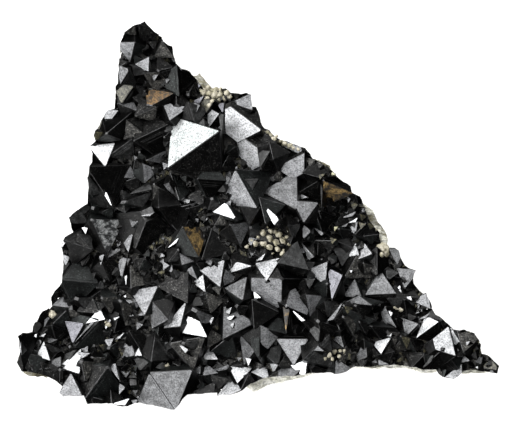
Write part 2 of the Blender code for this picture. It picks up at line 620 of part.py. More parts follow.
def rock_plate():
    """The plate: flat beneath, with a broken rim, up to the uneven contact with the crust."""
    draw = random.Random(SMALL_SEED)
    heart = Vector(ROCK_HEART)
    outline = [Vector(point) - heart for point in inset_outline(ROCK_UNDER_CRYSTALS, 0.0)]
    rings = []
    for height, share, uneven in ROCK_RINGS:
        ring = []
        for arm in outline:
            place = heart + arm * (share - draw.random() * uneven / arm.length)
            ring.append((place.x, place.y, height + draw.uniform(-1, 1) * uneven))
        rings.append(ring)
    plate = loft("matrix", rings)
    combine(plate, "INTERSECT", contact_block("rock_top", 0.0), "MANIFOLD")
    keep_outer_body(plate)
    return plate


def crystal_mass(crystals):
    """All crystals in one mesh, each a closed octahedron."""
    vertices = [tuple(corner) for corners in crystals for corner in corners]
    faces = []
    for i, corners in enumerate(crystals):
        faces += [tuple(6 * i + k for k in face) for face in octahedron_faces(corners)]
    mesh = bpy.data.meshes.new("crystals")
    mesh.from_pydata(vertices, [], faces)
    return as_cutter(new_object("crystals", mesh))


def crust(outline):
    """The bed and its crystals in one solid, trimmed to the outline and to the rock under it."""
    bed_outline = inset_outline(BED_UNDER_CRYSTALS, BARE_ROCK)
    bed = loft("magnetite_crust", [[(x, y, z) for x, y in bed_outline] for z in (BED_ROOT, BLANK_TOP)])
    combine(bed, "INTERSECT", contact_block("bed_top", BED_THICKNESS), "MANIFOLD")
    combine(bed, "UNION", crystal_mass(grown_crystals(outline)))
    trim = as_cutter(loft("trim", [[(x, y, z) for x, y in outline] for z in TRIM_SPAN]))
    combine(bed, "INTERSECT", trim, "MANIFOLD")
    combine(bed, "DIFFERENCE", contact_block("crust_underside", TOUCHING_GAP), "MANIFOLD")
    return bed


def grain_mesh(name, grains, grow, divisions, draw):
    """Rounded grains in one mesh, each with flat facets."""
    shape = bmesh.new()
    for x, y, width in grains:
        stretch = Matrix.Diagonal([1 + draw.uniform(-1, 1) * GRAIN_STRETCH for _ in range(3)]).to_4x4()
        angle = draw.uniform(0, math.pi)
        turn = Matrix.Rotation(angle, 4, Vector((draw.random(), draw.random(), 1.0)))
        place = Matrix.Translation((x, y, bed_height((x, y)) + GRAIN_LIFT - GRAIN_SINK * width))
        bmesh.ops.create_icosphere(shape, subdivisions=divisions, radius=width / 2 * GRAIN_OVERLAP + grow,
                                   matrix=place @ turn @ stretch)
    mesh = bpy.data.meshes.new(name)
    shape.to_mesh(mesh)
    shape.free()
    return new_object(name, mesh)


def grown_grains(name, grains, grow):
    """A cluster in one solid, with every grain larger by an amount."""
    draw = random.Random(GRAIN_SEED)
    divisions = 2 if len(grains) == 1 and grains[0][2] > FINE_GRAIN else 1
    cluster = grain_mesh(name, grains[:1], grow, divisions, draw)
    if len(grains) > 1:
        rest = grain_mesh(name + "_rest", grains[1:], grow, divisions, draw)
        combine(cluster, "UNION", as_cutter(rest))
    return cluster


def joined_grains(name, grains, body):
    """A cluster clear of the rock, and its pocket cut out of the crust."""
    cluster = grown_grains(name, grains, 0.0)
    combine(cluster, "DIFFERENCE", contact_block(name + "_underside", TOUCHING_GAP), "MANIFOLD")
    keep_outer_body(cluster)
    pocket = as_cutter(grown_grains(name + "_pocket", grains, POCKET_GAP))
    combine(body, "DIFFERENCE", pocket, "MANIFOLD")
    return cluster


def material(name, colour, roughness, metallic):
    made = bpy.data.materials.new(name)
    made.use_nodes = True
    shader = made.node_tree.nodes["Principled BSDF"]
    shader.inputs["Base Color"].default_value = (*colour, 1.0)
    shader.inputs["Roughness"].default_value = roughness
    shader.inputs["Metallic"].default_value = metallic
    return made


def finish(obj, made):
    """Gives a piece its material and brings it from millimetres to metres about the middle of the plate."""
    to_metres = Matrix.Scale(MM, 4) @ Matrix.Translation((-PLATE_CENTRE[0], -PLATE_CENTRE[1], 0.0))
    obj.data.transform(to_metres)
    obj.data.materials.clear()
    obj.data.materials.append(made)


def build():
    for obj in list(bpy.data.objects):
        bpy.data.objects.remove(obj)
    outline = inset_outline(0.0, BARE_ROCK)
    plate = rock_plate()
    body = crust(outline)
    grains = [joined_grains(name, group, body) for name, group in GRAINS.items()]
    keep_outer_body(body)
    finish(plate, material("rock", ROCK_COLOUR, 0.85, 0.0))
    finish(body, material("magnetite", MAGNETITE_COLOUR, 0.22, 1.0))
    feldspar = material("feldspar", GRAIN_COLOUR, 0.7, 0.0)
    for cluster in grains:
        finish(cluster, feldspar)


build()
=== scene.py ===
"""The looks of a magnetite specimen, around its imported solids.

The octahedra stand where they stand in the solids, from the same table and by the same settling. Here they
get bevelled edges and growth layers, lesser crystals and druse fill the bed between them, and the rock gets
its broken, granular surface. Lengths are in millimetres, with X to the right and Y up the front from its
lower left corner, until each finished piece is brought to metres about the middle of the plate.
"""
import math
import random

import bmesh
import bpy
import numpy as np
from mathutils import Matrix, Vector, noise


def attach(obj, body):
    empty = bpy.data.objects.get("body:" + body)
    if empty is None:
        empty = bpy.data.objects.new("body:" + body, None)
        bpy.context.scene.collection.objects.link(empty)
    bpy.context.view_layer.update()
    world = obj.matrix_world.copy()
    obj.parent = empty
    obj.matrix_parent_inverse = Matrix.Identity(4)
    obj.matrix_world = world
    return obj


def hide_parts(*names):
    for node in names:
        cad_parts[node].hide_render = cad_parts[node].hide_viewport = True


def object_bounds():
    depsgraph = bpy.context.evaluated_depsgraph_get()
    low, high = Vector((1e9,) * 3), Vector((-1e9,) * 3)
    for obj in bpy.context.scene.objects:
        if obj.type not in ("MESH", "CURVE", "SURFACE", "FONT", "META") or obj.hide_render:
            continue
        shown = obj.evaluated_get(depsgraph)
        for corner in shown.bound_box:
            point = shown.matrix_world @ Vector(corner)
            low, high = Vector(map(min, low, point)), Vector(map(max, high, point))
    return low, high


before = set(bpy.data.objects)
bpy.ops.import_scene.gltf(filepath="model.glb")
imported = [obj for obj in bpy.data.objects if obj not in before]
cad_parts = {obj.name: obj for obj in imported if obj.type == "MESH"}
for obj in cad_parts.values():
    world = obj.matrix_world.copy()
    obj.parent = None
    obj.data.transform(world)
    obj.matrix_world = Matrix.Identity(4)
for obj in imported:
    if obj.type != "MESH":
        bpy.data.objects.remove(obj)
cad_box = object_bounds()

# Sizes shared with the solids
MM = 0.001
PLATE_SIZE = (96.4, 77.4)
PLATE_CENTRE = (48.05, 38.55)
PLATE_THICKNESS = 10.5
BED_THICKNESS = 2.8

# Heights that the blanks and the blocks that cut them reach, all well past the finished shapes
BLOCK_FLOOR = -10.0
BED_ROOT = 4.0
BLANK_TOP = 45.0
TRIM_SPAN = (-5.0, 50.0)

# The upper side of the rock, where the crystals grow: a low, uneven dome
CONTACT_SWELL = 1.3
SWELL_LENGTHS = (9.0, 11.0)
SWELL_START = 0.6
CONTACT_WAVE = 0.7
WAVE_LENGTHS = (5.3, 7.1)
MIDDLE_RISE = 2.5
MIDDLE_PLACE = (40.2, 38.55)
MIDDLE_REACH = 26.0

# How far inside the outline the bed lies under crystals and the crust where the rock is bare, and how many
# points away on both sides the outline's direction is taken
BED_UNDER_CRYSTALS = 1.2
BARE_ROCK = 2.0
TANGENT_REACH = 2

# The outline of the specimen, clockwise from its top, as runs that crystals or bare rock make
OUTLINE = (
    ("crystals", ((25.5, 77.4), (26.8, 76.0), (29.3, 74.4), (29.4, 73.4), (31.3, 72.6), (31.9, 69.1),
                  (33.0, 68.1), (34.6, 67.6))),
    ("rock", ((36.6, 68.1), (37.9, 66.6), (39.2, 64.9))),
    ("crystals", ((40.3, 64.1), (41.8, 64.2), (42.7, 63.3), (45.7, 63.4), (47.0, 62.9), (47.0, 60.4),
                  (47.8, 60.5), (48.9, 57.3), (49.4, 56.2), (50.3, 55.8), (52.0, 54.2), (54.0, 53.5),
                  (55.5, 52.8), (57.5, 52.4), (58.8, 51.1))),
    ("rock", ((59.5, 51.1), (61.2, 50.1), (62.7, 49.2), (64.7, 46.7), (66.7, 44.7), (67.0, 43.6),
              (68.6, 42.8), (70.2, 41.0), (71.5, 40.1), (72.4, 38.6), (73.8, 36.2), (74.6, 33.9))),
    ("crystals", ((75.2, 32.5), (76.3, 32.0), (76.8, 30.2), (77.5, 29.1), (79.7, 27.9), (79.0, 26.2),
                  (79.2, 25.4), (80.9, 23.4), (81.6, 23.7), (82.6, 21.3), (83.5, 19.2), (84.9, 18.4),
                  (86.9, 16.4), (89.0, 16.4), (91.2, 15.6), (92.7, 13.2), (92.8, 11.5), (93.9, 11.4),
                  (95.1, 10.2))),
    ("rock", ((96.4, 8.8), (96.0, 6.6), (93.0, 6.7), (89.0, 6.7))),
    ("crystals", ((87.0, 5.9), (86.2, 5.8), (84.4, 6.4))),
    ("rock", ((83.0, 6.8), (80.3, 6.7), (79.3, 7.5), (74.0, 7.5), (67.5, 7.6), (64.5, 7.0), (62.0, 7.0),
              (58.0, 6.1), (54.0, 4.9), (50.0, 4.1), (47.0, 3.0))),
    ("crystals", ((44.2, 3.3), (42.3, 2.9), (39.8, 2.6), (39.7, 3.2), (36.0, 3.0), (34.2, 2.8),
                  (33.3, 1.9), (31.5, -0.3), (23.7, 1.3), (22.1, 0.5), (19.0, 1.0), (14.0, 1.0),
                  (13.2, 2.6), (9.3, 2.7), (8.3, 3.5), (9.0, 4.7), (7.7, 5.7))),
    ("rock", ((5.7, 5.7), (3.5, 6.2), (0.7, 6.6), (0.2, 7.4))),
    ("crystals", ((0.0, 9.5), (0.6, 11.7), (0.0, 14.9), (1.2, 15.7), (3.0, 15.8), (3.3, 17.4),
                  (5.0, 19.8), (6.5, 20.9), (6.8, 22.5), (7.4, 24.2), (8.7, 25.4), (8.9, 28.5),
                  (8.9, 31.4), (8.2, 33.4), (9.4, 34.7), (10.9, 35.5), (10.2, 38.4), (11.9, 40.0),
                  (13.8, 41.3), (14.1, 43.2), (14.0, 46.2), (14.6, 49.5), (15.0, 51.0), (14.1, 52.5))),
    ("rock", ((15.2, 53.6), (14.8, 54.8), (15.6, 56.6), (16.5, 58.0), (17.2, 59.6))),
    ("crystals", ((18.0, 60.0), (19.2, 60.2))),
    ("rock", ((19.1, 62.5), (19.2, 64.4))),
    ("crystals", ((19.8, 65.0), (20.2, 68.5), (20.4, 73.2), (21.2, 75.2), (22.9, 76.5), (24.5, 77.0))),
)

# Where the crust leaves less of the rock bare: the width there, by outline point
BARE_WIDTHS = {
    (59.5, 51.1): 1.0, (61.2, 50.1): 0.9, (62.7, 49.2): 0.9, (64.7, 46.7): 0.6, (66.7, 44.7): 0.1,
    (67.0, 43.6): 0.1, (68.6, 42.8): 0.2, (70.2, 41.0): 0.8, (71.5, 40.1): 1.8, (73.8, 36.2): 1.4,
    (83.0, 6.8): 0.9, (80.3, 6.7): 1.1, (79.3, 7.5): 0.8, (74.0, 7.5): 1.2, (67.5, 7.6): 0.7,
    (64.5, 7.0): 0.1, (62.0, 7.0): 0.1, (58.0, 6.1): 1.0, (54.0, 4.9): 1.6, (50.0, 4.1): 2.2,
    (5.7, 5.7): 0.8, (3.5, 6.2): 0.9, (0.7, 6.6): 0.9, (0.2, 7.4): 0.5, (15.2, 53.6): 0.3,
    (14.8, 54.8): 0.4, (15.6, 56.6): 0.4, (16.5, 58.0): 0.3, (17.2, 59.6): 0.3, (19.1, 62.5): 0.3,
    (19.2, 64.4): 0.3, (96.4, 8.8): 0.2, (96.0, 6.6): 0.5, (93.0, 6.7): 0.7, (89.0, 6.7): 0.6,
}

# Which way the shown face of a crystal leans: to the upper left of the front, or away from it
UP_LEFT = 1
DOWN_RIGHT = -1
LEAN_AXIS = np.array((math.cos(math.radians(150)), math.sin(math.radians(150))))

# The crystals that can be told apart: the corners of the face that each one shows, its lean and the finish of
# that face, whose grey steps are painted light and shade: lighter for lit faces, darker for shaded ones
CRYSTALS = {
    "narrow top": (
        ((24.3, 76.8), (28.4, 75.1), (24.6, 72.6), DOWN_RIGHT, "dark"),
        ((19.5, 73.1), (23.6, 73.1), (22.6, 69.0), UP_LEFT, "light"),
        ((27.2, 70.1), (31.4, 70.0), (29.0, 73.4), DOWN_RIGHT, "rough"),
        ((23.2, 68.6), (26.4, 70.3), (26.3, 66.8), UP_LEFT, "light"),
        ((31.9, 68.6), (36.6, 66.2), (32.4, 62.2), DOWN_RIGHT, "black"),
        ((25.6, 64.0), (31.3, 63.0), (26.0, 60.0), UP_LEFT, "ochre"),
        ((28.9, 61.3), (34.2, 60.2), (30.5, 57.5), UP_LEFT, "light"),
        ((16.9, 59.9), (20.3, 59.6), (18.0, 56.6), UP_LEFT, "light"),
        ((20.0, 61.0), (23.0, 62.0), (24.3, 59.3), UP_LEFT, "grey"),
        ((23.4, 58.3), (28.0, 60.1), (27.6, 57.2), DOWN_RIGHT, "rough"),
    ),
    "left shoulder": (
        ((14.3, 52.5), (19.7, 53.2), (17.7, 48.3), UP_LEFT, "flash"),
        ((21.9, 57.7), (25.4, 54.9), (21.3, 53.7), DOWN_RIGHT, "rough"),
        ((23.3, 53.5), (30.5, 57.0), (29.2, 49.4), DOWN_RIGHT, "black"),
        ((25.1, 49.1), (28.3, 47.7), (25.4, 45.0), DOWN_RIGHT, "light"),
        ((30.9, 58.5), (40.5, 55.5), (30.0, 48.0), UP_LEFT, "white"),
        ((14.0, 48.3), (23.0, 48.8), (19.6, 40.0), DOWN_RIGHT, "black"),
        ((21.4, 46.2), (22.7, 48.6), (23.8, 46.0), DOWN_RIGHT, "light"),
        ((26.1, 45.3), (27.4, 44.0), (22.3, 42.9), UP_LEFT, "dim"),
        ((28.9, 44.7), (30.3, 45.2), (32.1, 42.0), UP_LEFT, "grey"),
        ((30.6, 47.3), (36.2, 44.6), (32.4, 41.6), DOWN_RIGHT, "slate"),
        ((36.0, 46.0), (41.9, 45.6), (38.2, 41.3), DOWN_RIGHT, "black"),
        ((33.1, 42.0), (35.3, 42.0), (33.5, 40.6), UP_LEFT, "flash"),
    ),
    "right shoulder": (
        ((42.5, 61.1), (47.1, 63.2), (46.9, 59.6), UP_LEFT, "light"),
        ((38.0, 60.2), (40.3, 58.9), (38.0, 55.8), UP_LEFT, "bright"),
        ((41.4, 61.2), (48.8, 55.6), (41.4, 51.8), UP_LEFT, "bright"),
        ((43.5, 55.2), (51.1, 49.9), (44.7, 46.4), UP_LEFT, "bright"),
        ((43.5, 47.9), (47.9, 40.1), (40.2, 41.0), UP_LEFT, "light"),
        ((51.3, 48.2), (57.2, 51.1), (57.2, 44.5), UP_LEFT, "light"),
        ((48.5, 43.4), (55.8, 47.8), (55.9, 39.7), UP_LEFT, "grey"),
        ((54.9, 41.7), (60.1, 41.3), (57.1, 37.2), UP_LEFT, "grey"),
        ((45.1, 45.9), (48.1, 46.0), (46.7, 43.3), DOWN_RIGHT, "dim"),
        ((50.1, 53.9), (54.6, 51.2), (51.0, 49.9), DOWN_RIGHT, "black"),
        ((56.0, 43.2), (60.3, 45.8), (60.2, 41.2), DOWN_RIGHT, "dark"),
        ((60.9, 45.7), (67.0, 43.1), (61.0, 40.3), DOWN_RIGHT, "stained"),
    ),
    "left flank": (
        ((14.9, 38.0), (21.7, 37.9), (18.1, 30.9), DOWN_RIGHT, "streaked"),
        ((21.3, 33.2), (23.4, 36.0), (22.3, 31.4), UP_LEFT, "light"),
        ((26.6, 39.6), (32.6, 34.3), (22.6, 29.6), DOWN_RIGHT, "dark"),
        ((20.1, 31.0), (22.6, 30.1), (20.6, 25.6), UP_LEFT, "grey"),
        ((16.8, 29.8), (20.3, 30.2), (18.6, 25.6), DOWN_RIGHT, "dark"),
        ((22.5, 30.3), (28.7, 25.5), (22.8, 24.4), DOWN_RIGHT, "rough"),
        ((22.6, 23.8), (28.2, 24.8), (25.5, 18.8), UP_LEFT, "light"),
        ((9.3, 33.9), (15.4, 31.9), (11.2, 28.6), DOWN_RIGHT, "black"),
        ((12.2, 35.0), (15.1, 35.1), (15.1, 31.8), DOWN_RIGHT, "dim"),
        ((8.9, 25.9), (16.5, 25.2), (11.5, 20.2), DOWN_RIGHT, "slate"),
    ),
    "middle": (
        ((33.0, 36.5), (38.0, 36.4), (36.3, 30.3), DOWN_RIGHT, "stained"),
        ((36.3, 27.9), (41.4, 30.0), (40.5, 24.4), UP_LEFT, "light"),
        ((35.0, 25.4), (37.1, 27.0), (37.6, 23.4), UP_LEFT, "flash"),
        ((41.2, 24.3), (45.8, 26.6), (45.0, 21.8), UP_LEFT, "grey"),
        ((41.6, 28.0), (44.2, 26.1), (40.8, 24.6), DOWN_RIGHT, "grey"),
        ((42.4, 36.9), (46.9, 37.6), (44.5, 32.6), DOWN_RIGHT, "grey"),
        ((33.4, 27.7), (34.9, 28.6), (36.0, 26.0), UP_LEFT, "light"),
        ((32.3, 31.6), (35.4, 29.6), (32.9, 28.9), DOWN_RIGHT, "light"),
        ((25.6, 30.5), (28.9, 31.2), (28.7, 26.0), DOWN_RIGHT, "black"),
        ((47.4, 29.2), (52.6, 30.4), (49.6, 25.6), UP_LEFT, "bright"),
        ((56.5, 33.5), (59.2, 30.5), (58.0, 29.7), UP_LEFT, "flash"),
        ((57.7, 27.9), (61.8, 29.6), (61.4, 24.7), UP_LEFT, "light"),
        ((62.9, 32.4), (67.1, 32.0), (64.7, 28.5), DOWN_RIGHT, "dim"),
        ((65.8, 30.5), (67.4, 33.3), (68.1, 30.8), UP_LEFT, "flash"),
        ((67.6, 29.9), (69.1, 33.3), (70.7, 31.1), UP_LEFT, "bright"),
        ((67.2, 26.1), (68.6, 22.4), (64.7, 22.6), UP_LEFT, "grey"),
        ((43.5, 26.3), (52.8, 26.2), (52.7, 19.0), UP_LEFT, "light"),
        ((54.8, 25.4), (58.9, 18.4), (53.5, 20.8), DOWN_RIGHT, "light"),
        ((57.4, 23.1), (61.4, 22.7), (58.3, 18.3), DOWN_RIGHT, "light"),
        ((57.0, 26.2), (59.3, 26.1), (58.2, 24.1), UP_LEFT, "dim"),
        ((59.4, 39.2), (63.7, 38.7), (61.0, 34.6), DOWN_RIGHT, "black"),
        ((65.8, 36.0), (67.8, 37.6), (67.4, 34.9), UP_LEFT, "bright"),
    ),
    "right edge": (
        ((73.9, 32.2), (77.0, 32.0), (75.7, 28.8), UP_LEFT, "grey"),
        ((75.5, 28.3), (80.1, 27.9), (77.1, 24.1), UP_LEFT, "grey"),
        ((72.3, 28.0), (75.5, 23.2), (69.2, 22.9), UP_LEFT, "grey"),
        ((78.9, 21.6), (81.7, 23.9), (82.3, 20.1), UP_LEFT, "light"),
    ),
    "lower left": (
        ((9.0, 22.9), (10.5, 20.4), (7.1, 20.8), UP_LEFT, "light"),
        ((2.9, 17.9), (6.6, 20.9), (6.2, 17.2), DOWN_RIGHT, "dark"),
        ((16.7, 18.1), (11.3, 12.4), (18.5, 11.8), DOWN_RIGHT, "slate"),
        ((13.7, 17.2), (16.6, 20.4), (17.7, 18.1), UP_LEFT, "flash"),
        ((21.9, 16.0), (23.6, 10.9), (19.9, 10.2), UP_LEFT, "light"),
        ((8.2, 8.6), (12.9, 12.3), (12.6, 7.3), UP_LEFT, "flash"),
        ((10.9, 7.5), (13.3, 2.7), (7.9, 2.9), UP_LEFT, "light"),
        ((5.5, 13.8), (6.8, 9.9), (3.9, 10.7), UP_LEFT, "flash"),
        ((0.0, 15.6), (5.0, 15.5), (1.5, 8.0), DOWN_RIGHT, "black"),
        ((18.2, 8.7), (13.3, 1.9), (21.4, 3.9), DOWN_RIGHT, "slate"),
        ((23.4, 10.8), (24.3, 12.5), (25.0, 10.9), UP_LEFT, "bright"),
    ),
    "lower middle": (
        ((35.1, 8.1), (26.4, 7.6), (31.7, -0.2), UP_LEFT, "grey"),
        ((35.2, 20.4), (38.0, 14.5), (32.2, 15.5), UP_LEFT, "flash"),
        ((33.8, 21.8), (29.2, 16.4), (32.6, 16.7), UP_LEFT, "bright"),
        ((26.5, 22.3), (30.2, 18.0), (26.9, 16.2), UP_LEFT, "grey"),
        ((37.6, 9.4), (40.1, 7.4), (37.0, 6.9), UP_LEFT, "light"),
        ((38.4, 12.6), (40.1, 10.1), (36.8, 10.1), UP_LEFT, "bright"),
        ((43.0, 6.9), (44.9, 3.7), (39.5, 2.5), UP_LEFT, "bright"),
        ((38.4, 7.0), (42.2, 6.2), (39.8, 3.6), DOWN_RIGHT, "dark"),
        ((51.6, 14.2), (58.0, 14.2), (55.1, 8.8), UP_LEFT, "light"),
        ((54.4, 8.9), (57.8, 10.1), (57.3, 6.3), UP_LEFT, "flash"),
        ((48.5, 17.0), (52.5, 15.2), (48.5, 10.3), DOWN_RIGHT, "bright"),
        ((44.3, 15.2), (47.3, 11.8), (45.2, 8.9), UP_LEFT, "grey"),
        ((42.0, 8.9), (46.9, 8.4), (43.9, 5.4), UP_LEFT, "flash"),
        ((46.6, 7.6), (49.6, 9.3), (50.3, 5.8), UP_LEFT, "flash"),
        ((50.2, 9.7), (52.0, 9.0), (51.0, 7.2), UP_LEFT, "bright"),
    ),
    "right tail": (
        ((62.8, 14.1), (64.3, 15.3), (65.1, 12.4), UP_LEFT, "bright"),
        ((63.4, 10.3), (66.8, 8.2), (63.3, 6.8), UP_LEFT, "grey"),
        ((73.2, 20.6), (75.6, 16.3), (71.3, 17.5), UP_LEFT, "bright"),
        ((76.5, 18.4), (79.9, 17.2), (77.3, 14.5), UP_LEFT, "grey"),
        ((79.4, 14.3), (83.9, 17.6), (81.3, 18.9), UP_LEFT, "flash"),
        ((70.6, 13.4), (74.5, 14.6), (72.4, 11.2), UP_LEFT, "flash"),
        ((69.3, 14.8), (69.6, 10.6), (67.2, 9.7), UP_LEFT, "grey"),
        ((71.5, 11.0), (75.2, 11.7), (73.9, 8.6), DOWN_RIGHT, "dark"),
        ((77.2, 11.6), (81.4, 11.5), (78.6, 8.6), UP_LEFT, "dark"),
        ((80.9, 12.8), (85.9, 16.8), (87.3, 10.8), UP_LEFT, "bright"),
        ((80.4, 8.1), (84.6, 12.2), (88.8, 7.0), DOWN_RIGHT, "black"),
        ((86.2, 16.6), (88.3, 13.3), (86.9, 13.0), UP_LEFT, "flash"),
        ((87.4, 16.3), (92.4, 14.6), (88.8, 11.4), DOWN_RIGHT, "rough"),
        ((84.7, 6.3), (88.5, 9.3), (88.6, 5.9), UP_LEFT, "bright"),
        ((93.3, 9.1), (94.4, 10.3), (95.6, 8.7), UP_LEFT, "dim"),
    ),
}

